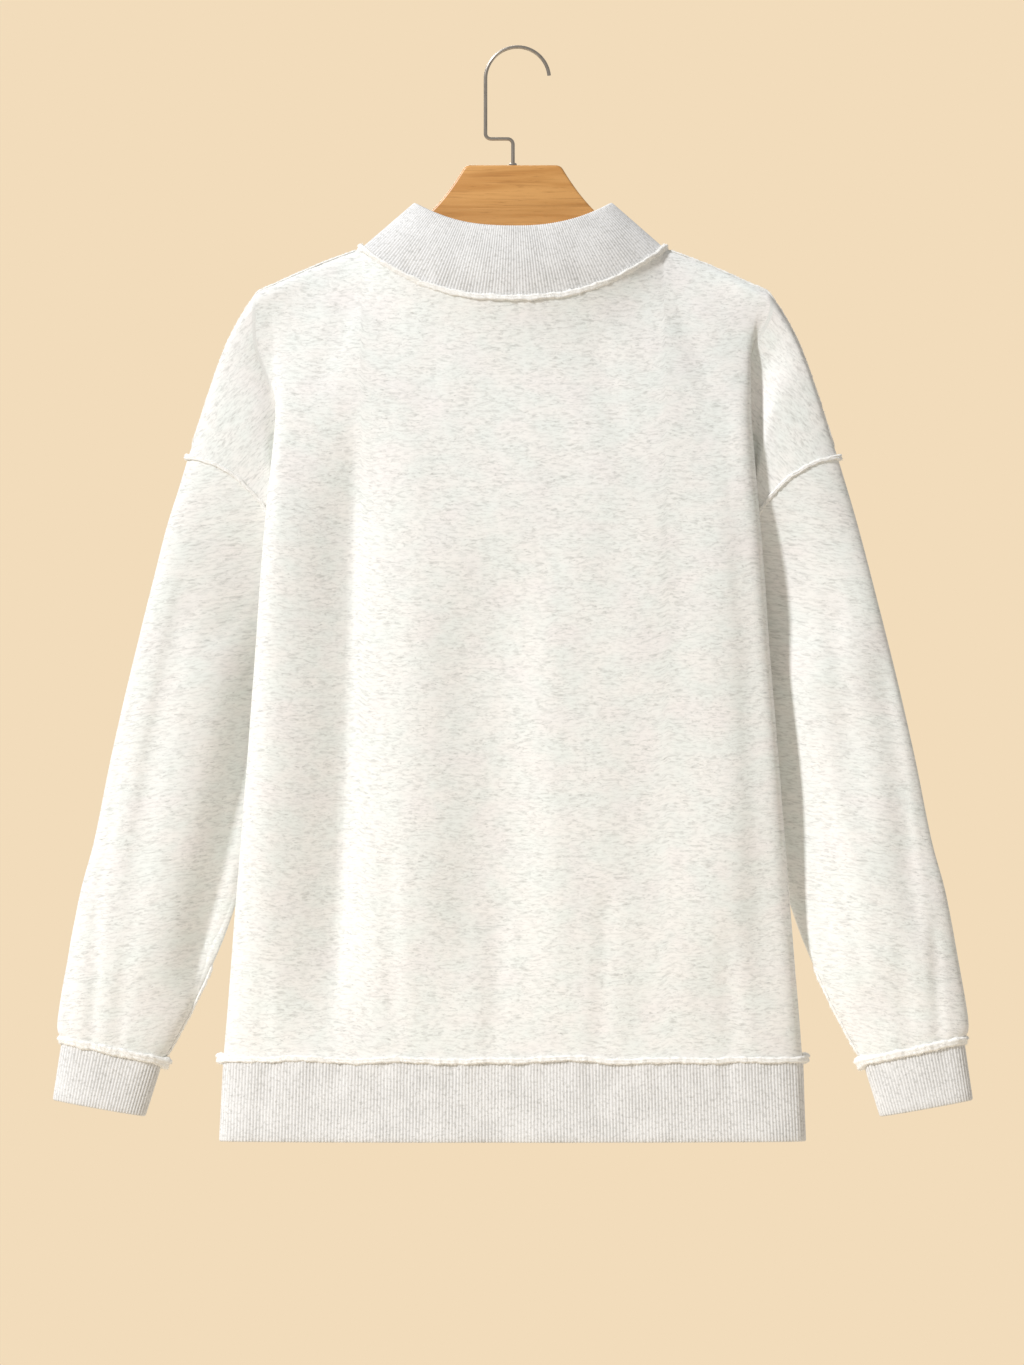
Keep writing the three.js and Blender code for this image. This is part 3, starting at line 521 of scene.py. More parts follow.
# Both sleeves' folds are given in the left sleeve's place, and the right sleeve's are mirrored.
SLEEVE_FOLDS = {
    1: (
        Fold(192, -452, 272, -812, 52, 30, 9.0, bow=-6.0, fade=0.18, crisp=True),
        Fold(238, -470, 308, -815, 64, 34, -5.0, fade=0.18),
        Fold(268, -420, 322, -760, 12, 20, 1.6, bow=5.0),
        Fold(300, -500, 350, -800, 10, 14, -1.0, bow=3.0),
        Fold(344, -700, 352, -846, 9, 8, 1.3),
        Fold(318, -720, 332, -846, 8, 10, 1.4),
        Fold(368, -740, 372, -840, 7, 7, 0.9),
        Fold(226, -470, 262, -500, 12, 12, 1.2),
    ),
    -1: (
        Fold(240, -470, 308, -815, 66, 34, -5.5, fade=0.18),
        Fold(262, -430, 300, -700, 16, 12, 1.5, bow=-5.0),
        Fold(300, -470, 340, -790, 10, 16, 1.4, bow=4.0),
        Fold(246, -600, 300, -810, 12, 10, 1.6, bow=3.0),
        Fold(350, -720, 356, -846, 8, 9, 1.3),
        Fold(322, -730, 330, -846, 9, 8, 1.2),
    ),
}

HEM_WAVE = Wander(11, (210.0, 118.0, 73.0))


def hem_lift(x: np.ndarray) -> np.ndarray:
    """How far the hem seam rises and falls along its length, in millimetres."""
    return 2.1 * HEM_WAVE.at(x)


# ---------------------------------------------------------------- grids into cloth shells


def grid_normals(grid: np.ndarray, closed: bool, outward: Callable) -> np.ndarray:
    """Unit normals of a grid of points.

    Args:
        grid: Rows of points, shape (rows, columns, 3).
        closed: Whether a row's last point joins its first.
        outward: Gives a rough outward direction for the grid, to choose the side.

    Returns:
        The normals, in the grid's shape.
    """
    down = np.gradient(grid, axis=0)
    if closed:
        over = (np.roll(grid, -1, axis=1) - np.roll(grid, 1, axis=1)) / 2
    else:
        over = np.gradient(grid, axis=1)
    normals = np.cross(down, over)
    lengths = np.linalg.norm(normals, axis=2, keepdims=True)
    normals = normals / np.maximum(lengths, 1e-9)
    if float(np.sum(normals * outward(grid))) < 0:
        normals = -normals
    return normals


def away_from_axis(grid: np.ndarray) -> np.ndarray:
    """The direction from each row's middle to its points."""
    return grid - grid.mean(axis=1, keepdims=True)


def facing(sign: int) -> Callable:
    """A direction function for a panel that faces +Y or -Y."""
    return lambda grid: np.broadcast_to(np.array([0.0, float(sign), 0.0]), grid.shape)


def level_lengths(grid: np.ndarray) -> np.ndarray:
    """Lengths along each row of a grid, seen from above."""
    steps = np.linalg.norm(np.diff(grid[..., :2], axis=1), axis=2)
    return np.concatenate([np.zeros((len(grid), 1)), np.cumsum(steps, axis=1)], axis=1)


def ring_uv(grid: np.ndarray) -> np.ndarray:
    """Lengths round a sleeve's rings and plain heights, with one more column."""
    full = np.concatenate([grid, grid[:, :1]], axis=1)
    return np.stack([level_lengths(full), full[..., 2] + 0.12 * np.abs(full[..., 0])], axis=2)


def hung_uv(grid: np.ndarray, start: int) -> np.ndarray:
    """Lengths across a panel and heights down it, so that the knit's courses stay level.

    Args:
        grid: Rows of points.
        start: The column from which lengths across are counted.

    Returns:
        The map, shape (rows, columns, 2).
    """
    across = level_lengths(grid)
    across = across - across[:, start:start + 1]
    falls = np.linalg.norm(np.diff(grid[..., 1:], axis=0), axis=2)
    down = np.concatenate([np.zeros((1, grid.shape[1])), np.cumsum(falls, axis=0)], axis=0)
    uv = np.stack([across, grid[:1, :, 2] - down], axis=2)
    side = np.sign(np.array(COLUMNS))[None, :, None]
    x, z = grid[..., :1], grid[..., 2:]
    turned = np.concatenate([(z * side * 0.7 - x * 0.7) * side, -z * 0.7 - x * side * 0.7], axis=2)
    return np.where(np.abs(np.array(COLUMNS))[None, :, None] >= 3 - 1e-6, turned, uv)


def make_mesh(name: str, points: np.ndarray, faces: Sequence,
              uvs: Optional[Sequence] = None) -> bpy.types.Object:
    """Makes an object from points in millimetres.

    Args:
        name: The object's name.
        points: The points, shape (n, 3).
        faces: Tuples of indices.
        uvs: For each face, its corners' places on the cloth, in millimetres.

    Returns:
        The new object, linked to the scene.
    """
    mesh = bpy.data.meshes.new(name)
    mesh.from_pydata((np.asarray(points) * MM).tolist(), [], [list(f) for f in faces])
    if uvs is not None:
        layer = mesh.uv_layers.new(name="cloth")
        flat = np.array([corner for face in uvs for corner in face], dtype=float) * MM
        layer.data.foreach_set("uv", flat.ravel())
    mesh.polygons.foreach_set("use_smooth", [True] * len(mesh.polygons))
    mesh.update()
    obj = bpy.data.objects.new(name, mesh)
    bpy.context.scene.collection.objects.link(obj)
    return obj


@dataclass
class Shell:
    """A cloth wall: a grid of outer points, the same grid moved in, and rims between them.

    round_last gives the last row a rounded edge, as where rib is folded double.
    """

    name: str
    grid: np.ndarray
    thickness: float
    closed: bool
    outward: Callable
    uv: np.ndarray
    round_last: bool = False
    normals: np.ndarray = field(init=False)

    def __post_init__(self) -> None:
        """Works out the normals once."""
        self.normals = grid_normals(self.grid, self.closed, self.outward)

    def rim_rows(self) -> list:
        """Points of the last row's rounded edge, from the outer wall over to the inner one.

        Returns:
            Three rows of points.
        """
        outer = self.grid[-1]
        inner = outer - self.normals[-1] * self.thickness
        middle = (outer + inner) / 2
        out = outer - self.grid[-2]
        out = out / np.maximum(np.linalg.norm(out, axis=1, keepdims=True), 1e-9)
        rows = []
        for k in (1, 2, 3):
            angle = k * math.pi / 4
            rows.append(middle + (outer - middle) * math.cos(angle)
                        + out * self.thickness / 2 * math.sin(angle))
        return rows

    def build(self) -> bpy.types.Object:
        """Makes the closed mesh.

        Returns:
            The object.
        """
        inner = self.grid - self.normals * self.thickness
        rows = [*self.grid]
        maps = [*self.uv]
        if self.round_last:
            rows += self.rim_rows()
            maps += [self.uv[-1]] * 3
        rows += [*inner[::-1]]
        maps += [*self.uv[::-1]]
        wide = len(rows[0])
        steps = wide if self.closed else wide - 1
        faces, uvs = [], []
        turned = self.winding_is_turned()
        for r in range(len(rows)):
            r2 = (r + 1) % len(rows)
            for c in range(steps):
                c2 = (c + 1) % wide
                face = [r * wide + c, r2 * wide + c, r2 * wide + c2, r * wide + c2]
                corner = [maps[r][c], maps[r2][c], maps[r2][c + 1], maps[r][c + 1]]
                faces.append(face[::-1] if turned else face)
                uvs.append(corner[::-1] if turned else corner)
        if not self.closed:
            faces, uvs = self.close_sides(rows, maps, faces, uvs, turned)
        obj = make_mesh(self.name, np.concatenate(rows), faces, uvs)
        obj.data.set_sharp_from_angle(angle=math.radians(70))
        return obj

    def winding_is_turned(self) -> bool:
        """Whether faces in grid order would point inwards.

        Returns:
            True if each face's corners have to be reversed.
        """
        down = self.grid[1:, :-1] - self.grid[:-1, :-1]
        over = self.grid[:-1, 1:] - self.grid[:-1, :-1]
        return float(np.sum(np.cross(down, over) * self.normals[:-1, :-1])) < 0

    def close_sides(self, rows: list, maps: list, faces: list, uvs: list, turned: bool) -> tuple:
        """Adds the strips that close a panel's two side edges between its outer and inner wall.

        Args:
            rows: The points, row by row.
            maps: Their places on the cloth.
            faces: The faces so far.
            uvs: Their corners' places on the cloth.
            turned: Whether faces in grid order would point inwards.

        Returns:
            The faces and their corners' places, with the strips added.
        """
        wide = len(rows[0])
        count = len(rows)
        outer_rows = len(self.grid)
        first_inner = count - outer_rows
        for c, swap in ((0, False), (wide - 1, True)):
            for r in range(outer_rows - 1):
                pair = first_inner + (outer_rows - 1 - r)
                face = [r * wide + c, pair * wide + c, (pair - 1) * wide + c, (r + 1) * wide + c]
                corner = [maps[r][c], maps[pair][c], maps[pair - 1][c], maps[r + 1][c]]
                if swap != turned:
                    face, corner = face[::-1], corner[::-1]
                faces.append(face)
                uvs.append(corner)
        return faces, uvs


def press(grid: np.ndarray, normals: np.ndarray, folds: Sequence[Fold],
          weight: np.ndarray) -> np.ndarray:
    """Presses folds into a grid along its normals.

    Args:
        grid: The points.
        normals: Their normals.
        folds: The folds.
        weight: How much each point follows, from 0 to 1.

    Returns:
        The moved points.
    """
    depth = sum(fold.depth_at(grid[..., 0], grid[..., 2]) for fold in folds)
    return grid - normals * (depth * weight)[..., None]


def resample(points: np.ndarray, count: int, closed: bool) -> np.ndarray:
    """Spreads points evenly along a line.

    Args:
        points: The line's points, shape (n, columns); its first three columns are its place.
        count: How many points to return.
        closed: Whether the line is a loop.

    Returns:
        The new points, shape (count, columns).
    """
    line = np.concatenate([points, points[:1]]) if closed else points
    steps = np.linalg.norm(np.diff(line[:, :3], axis=0), axis=1)
    place = np.concatenate([[0.0], np.cumsum(steps)])
    wanted = np.linspace(0.0, place[-1], count, endpoint=not closed)
    return np.stack([np.interp(wanted, place, line[:, k]) for k in range(line.shape[1])], axis=1)


def line_length(points: np.ndarray, closed: bool) -> float:
    """The length of a line of points in millimetres."""
    line = np.concatenate([points, points[:1]]) if closed else points
    return float(np.linalg.norm(np.diff(line[:, :3], axis=0), axis=1).sum())


# ---------------------------------------------------------------- node helpers


def linear(hex_colour: str) -> tuple:
    """Turns an sRGB hex colour into linear red, green, blue and alpha."""
    channels = [int(hex_colour[i:i + 2], 16) / 255 for i in (1, 3, 5)]
    return (*(c / 12.92 if c <= 0.04045 else ((c + 0.055) / 1.055) ** 2.4 for c in channels), 1.0)


def add_node(tree: bpy.types.NodeTree, kind: str, inputs: Optional[dict] = None,
             **settings) -> bpy.types.Node:
    """Adds a node with its settings and links.

    Args:
        tree: The node tree.
        kind: The node's type name.
        inputs: For each input's name or number, a value or another node's output.
        settings: The node's own properties.

    Returns:
        The node.
    """
    node = tree.nodes.new(kind)
    for name, value in settings.items():
        setattr(node, name, value)
    for name, value in (inputs or {}).items():
        socket = node.inputs[name]
        if isinstance(value, bpy.types.NodeSocket):
            tree.links.new(value, socket)
        else:
            socket.default_value = value
    return node


def cloth_place(tree: bpy.types.NodeTree, across: float, down: float) -> bpy.types.NodeSocket:
    """The place on the cloth's own map, counted in pattern steps.

    Args:
        tree: The material's nodes.
        across: The pattern's step across the cloth, in millimetres.
        down: Its step down the cloth, in millimetres.

    Returns:
        The output to use as a texture's vector.
    """
    place = add_node(tree, "ShaderNodeUVMap", uv_map="cloth").outputs["UV"]
    scale = (1 / (across * MM), 1 / (down * MM), 1.0)
    return add_node(tree, "ShaderNodeMapping", {"Vector": place, "Scale": scale}).outputs["Vector"]


def noise(tree: bpy.types.NodeTree, place: bpy.types.NodeSocket, detail: float, rough: float = 0.5,
          distortion: float = 0.0) -> bpy.types.NodeSocket:
    """A noise texture with a scale of one, because its place is counted in pattern steps."""
    inputs = {"Vector": place, "Scale": 1.0, "Detail": detail, "Roughness": rough,
              "Distortion": distortion}
    return add_node(tree, "ShaderNodeTexNoise", inputs).outputs["Fac"]


def band(tree: bpy.types.NodeTree, value: bpy.types.NodeSocket, low: float, high: float,
         to_low: float = 0.0, to_high: float = 1.0) -> bpy.types.NodeSocket:
    """Stretches a range of values smoothly to another range.

    Args:
        tree: The material's nodes.
        value: The output to stretch.
        low: Where the range starts.
        high: Where it ends.
        to_low: What the start becomes.
        to_high: What the end becomes.

    Returns:
        The output.
    """
    inputs = {"Value": value, "From Min": low, "From Max": high, "To Min": to_low, "To Max": to_high}
    kind = {"interpolation_type": "SMOOTHSTEP"}
    return add_node(tree, "ShaderNodeMapRange", inputs, **kind).outputs["Result"]


def times(tree: bpy.types.NodeTree, a: object, b: object) -> bpy.types.NodeSocket:
    """The product of two values or outputs."""
    return add_node(tree, "ShaderNodeMath", {0: a, 1: b}, operation="MULTIPLY").outputs[0]


def blend(tree: bpy.types.NodeTree, share: object, a: object, b: object) -> bpy.types.NodeSocket:
    """Mixes two colours, given as outputs or as linear colours.

    Args:
        tree: The material's nodes.
        share: How much of the second colour shows, from 0 to 1.
        a: The first colour.
        b: The second colour.

    Returns:
        The colour's output.
    """
    node = add_node(tree, "ShaderNodeMix", {"Factor": share}, data_type="RGBA")
    for index, value in ((6, a), (7, b)):
        if isinstance(value, bpy.types.NodeSocket):
            tree.links.new(value, node.inputs[index])
        else:
            node.inputs[index].default_value = value
    return node.outputs[2]


def bumped(tree: bpy.types.NodeTree, height: bpy.types.NodeSocket, depth_mm: float,
           strength: float, under: Optional[bpy.types.NodeSocket] = None) -> bpy.types.NodeSocket:
    """A bump of a real depth in millimetres, over another normal if one is given.

    Args:
        tree: The material's nodes.
        height: The pattern's height, from 0 to 1.
        depth_mm: The relief's depth in millimetres.
        strength: How strongly it tilts the light, from 0 to 1.
        under: The normal to add to, or None for the mesh's own.

    Returns:
        The normal's output.
    """
    inputs = {"Height": height, "Distance": depth_mm * MM, "Strength": strength}
    if under is not None:
        inputs["Normal"] = under
    return add_node(tree, "ShaderNodeBump", inputs).outputs["Normal"]


def surface(name: str, dress: Callable, **constants) -> bpy.types.Material:
    """Makes a material around one principled shader.

    Args:
        name: The material's name.
        dress: Given the nodes, returns the linked inputs by name.
        constants: Values set directly on the shader's sockets, with _ for a space.

    Returns:
        The material.
    """
    material = bpy.data.materials.new(name)
    material.use_nodes = True
    tree = material.node_tree
    tree.nodes.clear()
    shader = add_node(tree, "ShaderNodeBsdfPrincipled", dress(tree))
    for key, value in constants.items():
        shader.inputs[key.replace("_", " ")].default_value = value
    add_node(tree, "ShaderNodeOutputMaterial", {"Surface": shader.outputs["BSDF"]})
    return material


# ---------------------------------------------------------------- finishes


@dataclass(frozen=True)
class BrushedFleece:
    """Cotton-rich sweatshirt fleece worn nap side out, in heather yarn.

    The brushed nap scatters light, so the cloth is matt and softly bright at its edges. Grey fibres
    carded into the off-white yarn show as short streaks that run along the courses of the knit.
    """

    name: str = "brushed_heather_fleece"
    warm: str = "#f7f5f0"
    cool: str = "#f1f4ef"
    blush: str = "#f6f1ee"
    streak: str = "#b4b4ae"
    fleck: str = "#8f8f8a"
    streak_length: float = 6.4
    streak_width: float = 2.1
    fleck_length: float = 3.3
    fleck_width: float = 1.2
    nap_grain: float = 0.9
    nap_depth: float = 0.5
    tint_size: tuple = (30.0, 22.0)
    blush_size: tuple = (42.0, 34.0)
    patch_size: tuple = (24.0, 11.0)
    lump_size: tuple = (4.2, 3.0)
    lump_depth: float = 0.45

    def material(self) -> bpy.types.Material:
        """The finish as a material.

        Returns:
            The material.
        """
        def dress(tree: bpy.types.NodeTree) -> dict:
            """The fleece's colour and nap.

            Args:
                tree: The material's nodes.

            Returns:
                The shader's linked inputs by name.
            """
            tint = band(tree, noise(tree, cloth_place(tree, *self.tint_size), 2.0), 0.30, 0.70)
            blush = band(tree, noise(tree, cloth_place(tree, *self.blush_size), 1.0), 0.45, 0.75, 0.0, 0.6)
            ground = blend(tree, blush, blend(tree, tint, linear(self.warm), linear(self.cool)),
                           linear(self.blush))
            streaks = noise(tree, cloth_place(tree, self.streak_length, self.streak_width),
                            4.0, 0.62, 0.6)
            patches = band(tree, noise(tree, cloth_place(tree, *self.patch_size), 2.0), 0.30, 0.64, 0.5, 1.0)
            grey = times(tree, times(tree, band(tree, streaks, 0.40, 0.76), patches), 0.64)
            colour = blend(tree, grey, ground, linear(self.streak))
            flecks = noise(tree, cloth_place(tree, self.fleck_length, self.fleck_width), 3.0, 0.55, 0.5)
            dark = times(tree, times(tree, band(tree, flecks, 0.55, 0.78), patches), 0.46)
            colour = blend(tree, dark, colour, linear(self.fleck))
            lumps = bumped(tree, noise(tree, cloth_place(tree, *self.lump_size), 3.0),
                           self.lump_depth, 0.45)
            nap = noise(tree, cloth_place(tree, self.nap_grain * 1.5, self.nap_grain), 4.0, 0.7)
            return {"Base Color": colour, "Normal": bumped(tree, nap, self.nap_depth, 0.55, lumps)}

        return surface(self.name, dress, Roughness=0.96, Specular_IOR_Level=0.12, Sheen_Weight=0.22,
                       Sheen_Roughness=0.55)


@dataclass(frozen=True)
class RibKnit:
    """One-by-one rib in the same heather yarn, a little greyer because it has no nap.

    The eye sees rows of raised wales with painted shade between them, broken by grey fibres.
    """

    name: str = "heather_rib_knit"
    wale: str = "#e9e8e6"
    # Painted shade: the colour given to the hollows between the raised wales.
    painted_groove_shade: str = "#bdbcb9"
    streak: str = "#b5b4af"
    pitch: float = 2.7
    stitch: tuple = (0.9, 1.5)
    stitch_depth: float = 0.3
    fade_size: tuple = (30.0, 24.0)
    fibre_size: tuple = (3.0, 2.4)

    def material(self) -> bpy.types.Material:
        """The finish as a material.

        Returns:
            The material.
        """
        def dress(tree: bpy.types.NodeTree) -> dict:
            """The rib's colour, painted shade in its grooves and the bumps of its stitches.

            Args:
                tree: The material's nodes.

            Returns:
                The shader's linked inputs by name.
            """
            place = cloth_place(tree, self.pitch, self.pitch)
            turn = add_node(tree, "ShaderNodeSeparateXYZ", {"Vector": place}).outputs["X"]
            wave = add_node(tree, "ShaderNodeMath", {0: times(tree, turn, 2 * math.pi)},
                            operation="COSINE").outputs[0]
            # Painted shade: the hollows between the raised wales are darkened in colour, faded at random by
            # a slow noise.
            low = band(tree, wave, -1.0, 0.2, 1.0, 0.0)
            fade = band(tree, noise(tree, cloth_place(tree, *self.fade_size), 2.0), 0.36, 0.66, 0.2, 1.0)
            colour = blend(tree, times(tree, times(tree, low, fade), 0.7), linear(self.wale),
                           linear(self.painted_groove_shade))
            fibres = noise(tree, cloth_place(tree, *self.fibre_size), 3.0, 0.6, 0.4)
            grey = times(tree, band(tree, fibres, 0.46, 0.74), 0.66)
            colour = blend(tree, grey, colour, linear(self.streak))
            stitches = noise(tree, cloth_place(tree, *self.stitch), 2.0)
            return {"Base Color": colour, "Normal": bumped(tree, stitches, self.stitch_depth, 0.5)}

        return surface(self.name, dress, Roughness=0.92, Specular_IOR_Level=0.15, Sheen_Weight=0.12,
                       Sheen_Roughness=0.5)


@dataclass(frozen=True)
class RawEdge:
    """Cut fleece edges left raw on the outside, which roll and fray into a pale fuzzy cord."""

    name: str = "frayed_fleece_edge"
    pale: str = "#fbf9f4"
    shade: str = "#f0eee8"
    grain: float = 1.3
    loop_depth: float = 0.7

    def material(self) -> bpy.types.Material:
        """The finish as a material.

        Returns:
            The material.
        """
        def dress(tree: bpy.types.NodeTree) -> dict:
            """The edge's loose loops.

            Args:
                tree: The material's nodes.

            Returns:
                The shader's linked inputs by name.
            """
            place = add_node(tree, "ShaderNodeTexCoord").outputs["Object"]
            steps = 1 / (self.grain * MM)
            fine = add_node(tree, "ShaderNodeMapping",
                            {"Vector": place, "Scale": (steps, steps, steps)}).outputs[0]
            loops = noise(tree, fine, 3.0, 0.6)
            colour = blend(tree, band(tree, loops, 0.42, 0.66, 0.0, 0.7), linear(self.pale),
                           linear(self.shade))
            return {"Base Color": colour, "Normal": bumped(tree, loops, self.loop_depth, 0.6)}

        return surface(self.name, dress, Roughness=0.97, Specular_IOR_Level=0.1, Sheen_Weight=0.3,
                       Sheen_Roughness=0.5)


@dataclass(frozen=True)
class VarnishedBeech:
    """Beech board under a thin satin varnish: honey brown with fine dashes of grain along it."""

    name: str = "varnished_beech"
    light: str = "#dda45f"
    deep: str = "#c78c48"
    pore: str = "#a06a30"
    grain_length: float = 42.0
    grain_width: float = 1.5
    grain_depth: float = 0.08

    def material(self) -> bpy.types.Material:
        """The finish as a material.

        Returns:
            The material.
        """
        def dress(tree: bpy.types.NodeTree) -> dict:
            """The wood's bands, dashes and faint relief.

            Args:
                tree: The material's nodes.

            Returns:
                The shader's linked inputs by name.
            """
            place = add_node(tree, "ShaderNodeTexCoord").outputs["Object"]

            def along(length: float, width: float) -> bpy.types.NodeSocket:
                """The place counted in grain steps along and across the board."""
                scale = (1 / (length * MM), 1 / (width * 4 * MM), 1 / (width * MM))
                return add_node(tree, "ShaderNodeMapping",
                                {"Vector": place, "Scale": scale}).outputs["Vector"]

            bands = noise(tree, along(self.grain_length * 3, self.grain_width * 6), 3.0, 0.5, 0.4)
            colour = blend(tree, band(tree, bands, 0.35, 0.68), linear(self.light), linear(self.deep))
            dashes = noise(tree, along(self.grain_length / 3, self.grain_width / 2), 3.0, 0.6)
            pores = times(tree, band(tree, dashes, 0.57, 0.74), 0.6)
            colour = blend(tree, pores, colour, linear(self.pore))
            rings = noise(tree, along(self.grain_length * 2, self.grain_width * 1.6), 2.0, 0.5, 0.8)
            colour = blend(tree, times(tree, band(tree, rings, 0.56, 0.66), 0.3), colour,
                           linear(self.pore))
            return {"Base Color": colour, "Normal": bumped(tree, dashes, self.grain_depth, 0.4)}

        return surface(self.name, dress, Roughness=0.42, Coat_Weight=0.25, Coat_Roughness=0.25)


@dataclass(frozen=True)
class SatinNickel:
    """Steel wire plated with satin nickel: warm grey, with soft reflections along its length.

    Its handling marks are about 4 mm wide and 11 mm long.
    """

    name: str = "satin_nickel_wire"
    tone: str = "#b9b1a6"
    dull: str = "#8f877c"
    marks_per_metre: tuple = (260.0, 260.0, 90.0)

    def material(self) -> bpy.types.Material:
        """The finish as a material.

        Returns:
            The material.
        """
        def dress(tree: bpy.types.NodeTree) -> dict:
            """Faint handling marks in the plating.

            Args:
                tree: The material's nodes.

            Returns:
                The shader's linked inputs by name.
            """
            place = add_node(tree, "ShaderNodeTexCoord").outputs["Object"]
            fine = add_node(tree, "ShaderNodeMapping",
                            {"Vector": place, "Scale": self.marks_per_metre}).outputs[0]
            marks = noise(tree, fine, 3.0)
            colour = blend(tree, band(tree, marks, 0.45, 0.75, 0.0, 0.6), linear(self.tone),
                           linear(self.dull))
            rough = band(tree, marks, 0.3, 0.7, 0.26, 0.40)
            return {"Base Color": colour, "Roughness": rough}

        return surface(self.name, dress, Metallic=1.0)


@dataclass(frozen=True)
class PaleFloor:
    """A plain matt floor, pale and warm."""

    name: str = "pale_floor"
    tone: str = "#eadcc6"
    shade: str = "#dccdb4"
    mottles_per_metre: float = 6.0

    def material(self) -> bpy.types.Material:
        """The finish as a material.

        Returns:
            The material.
        """
        def dress(tree: bpy.types.NodeTree) -> dict:
            """A very faint mottle.

            Args:
                tree: The material's nodes.

            Returns:
                The shader's linked inputs by name.
            """
            place = add_node(tree, "ShaderNodeTexCoord").outputs["Object"]
            mottle = add_node(tree, "ShaderNodeTexNoise",
                              {"Vector": place, "Scale": self.mottles_per_metre}).outputs["Fac"]
            return {"Base Color": blend(tree, times(tree, mottle, 0.1), linear(self.tone),
                                        linear(self.shade))}

        return surface(self.name, dress, Roughness=0.8)


class Finish(Enum):
    """The finishes of the garment and its hanger, named as the record's material slots."""

    FLEECE = "fleece"
    RIB = "rib"
    RAW_EDGE = "raw_edge"
    WOOD = "hanger_wood"
    WIRE = "hanger_wire"


class Wardrobe:
    """Makes each finish once and puts it on pieces."""

    def __init__(self) -> None:
        """Builds every material."""
        makers = {
            Finish.FLEECE: BrushedFleece(), Finish.RIB: RibKnit(), Finish.RAW_EDGE: RawEdge(),
            Finish.WOOD: VarnishedBeech(), Finish.WIRE: SatinNickel(),
        }
        self.materials = {finish: maker.material() for finish, maker in makers.items()}

    def dress(self, obj: bpy.types.Object, finish: Finish) -> None:
        """Gives an object one finish."""
        obj.data.materials.clear()
        obj.data.materials.append(self.materials[finish])


# ---------------------------------------------------------------- what repeats


class GeometryTree:
    """A Geometry Nodes tree with named inputs, whose result becomes a plain mesh."""

    def __init__(self, name: str, inputs: dict) -> None:
        """Starts the tree.

        Args:
            name: The tree's name.
            inputs: For each named input, its socket type and default.
        """
        self.tree = bpy.data.node_groups.new(name, "GeometryNodeTree")
        face = self.tree.interface
        face.new_socket("Geometry", in_out="INPUT", socket_type="NodeSocketGeometry")
        face.new_socket("Geometry", in_out="OUTPUT", socket_type="NodeSocketGeometry")
        self.keys = {}
        for label, (kind, default) in inputs.items():
            socket = face.new_socket(label, in_out="INPUT", socket_type=kind)
            if default is not None:
                socket.default_value = default
            self.keys[label] = socket.identifier
        self.source = self.tree.nodes.new("NodeGroupInput")
        self.result = self.tree.nodes.new("NodeGroupOutput")

    def add(self, kind: str, inputs: Optional[dict] = None, **settings) -> bpy.types.Node:
        """Adds a node to the tree."""
        return add_node(self.tree, kind, inputs, **settings)

    def read(self, label: str) -> bpy.types.NodeSocket:
        """The output that carries one of the tree's inputs."""
        return self.source.outputs[label]

    def finish(self, geometry: bpy.types.NodeSocket) -> None:
        """Links the tree's result."""
        self.tree.links.new(geometry, self.result.inputs["Geometry"])

    def apply(self, obj: bpy.types.Object, values: dict) -> None:
        """Runs the tree on an object and keeps the result as its mesh.

        Args:
            obj: The object, whose mesh is replaced.
            values: A value for each named input.
        """
        modifier = obj.modifiers.new(self.tree.name, "NODES")
        modifier.node_group = self.tree
        for label, value in values.items():
            modifier[self.keys[label]] = value
        bpy.context.view_layer.update()
        evaluated = obj.evaluated_get(bpy.context.evaluated_depsgraph_get())
        mesh = bpy.data.meshes.new_from_object(evaluated)
        obj.modifiers.remove(modifier)
        old = obj.data
        obj.data = mesh
        mesh.name = obj.name
        bpy.data.meshes.remove(old)


def rib_wales() -> GeometryTree:
    """A tree that raises the wales of a rib, from each point's count of wales round the band.

    Returns:
        The tree.
    """
    tree = GeometryTree("rib_wales", {
        "Height": ("NodeSocketFloat", 0.0005), "Finish": ("NodeSocketMaterial", None),
    })
    wale = tree.add("GeometryNodeInputNamedAttribute", {"Name": "wale"},
                    data_type="FLOAT").outputs["Attribute"]
    turn = tree.add("ShaderNodeMath", {0: wale, 1: 2 * math.pi}, operation="MULTIPLY").outputs[0]
    wave = tree.add("ShaderNodeMath", {0: turn}, operation="COSINE").outputs[0]
    lift = tree.add("ShaderNodeMath", {0: wave, 1: tree.read("Height")}, operation="MULTIPLY").outputs[0]
    normal = tree.add("GeometryNodeInputNormal").outputs[0]
    offset = tree.add("ShaderNodeVectorMath", {0: normal, "Scale": lift}, operation="SCALE").outputs[0]
    moved = tree.add("GeometryNodeSetPosition", {"Geometry": tree.read("Geometry"), "Offset": offset})
    real = tree.add("GeometryNodeRealizeInstances", {"Geometry": moved.outputs[0]}).outputs[0]
    done = tree.add("GeometryNodeSetMaterial", {"Geometry": real, "Material": tree.read("Finish")})
    tree.finish(done.outputs[0])
    return tree


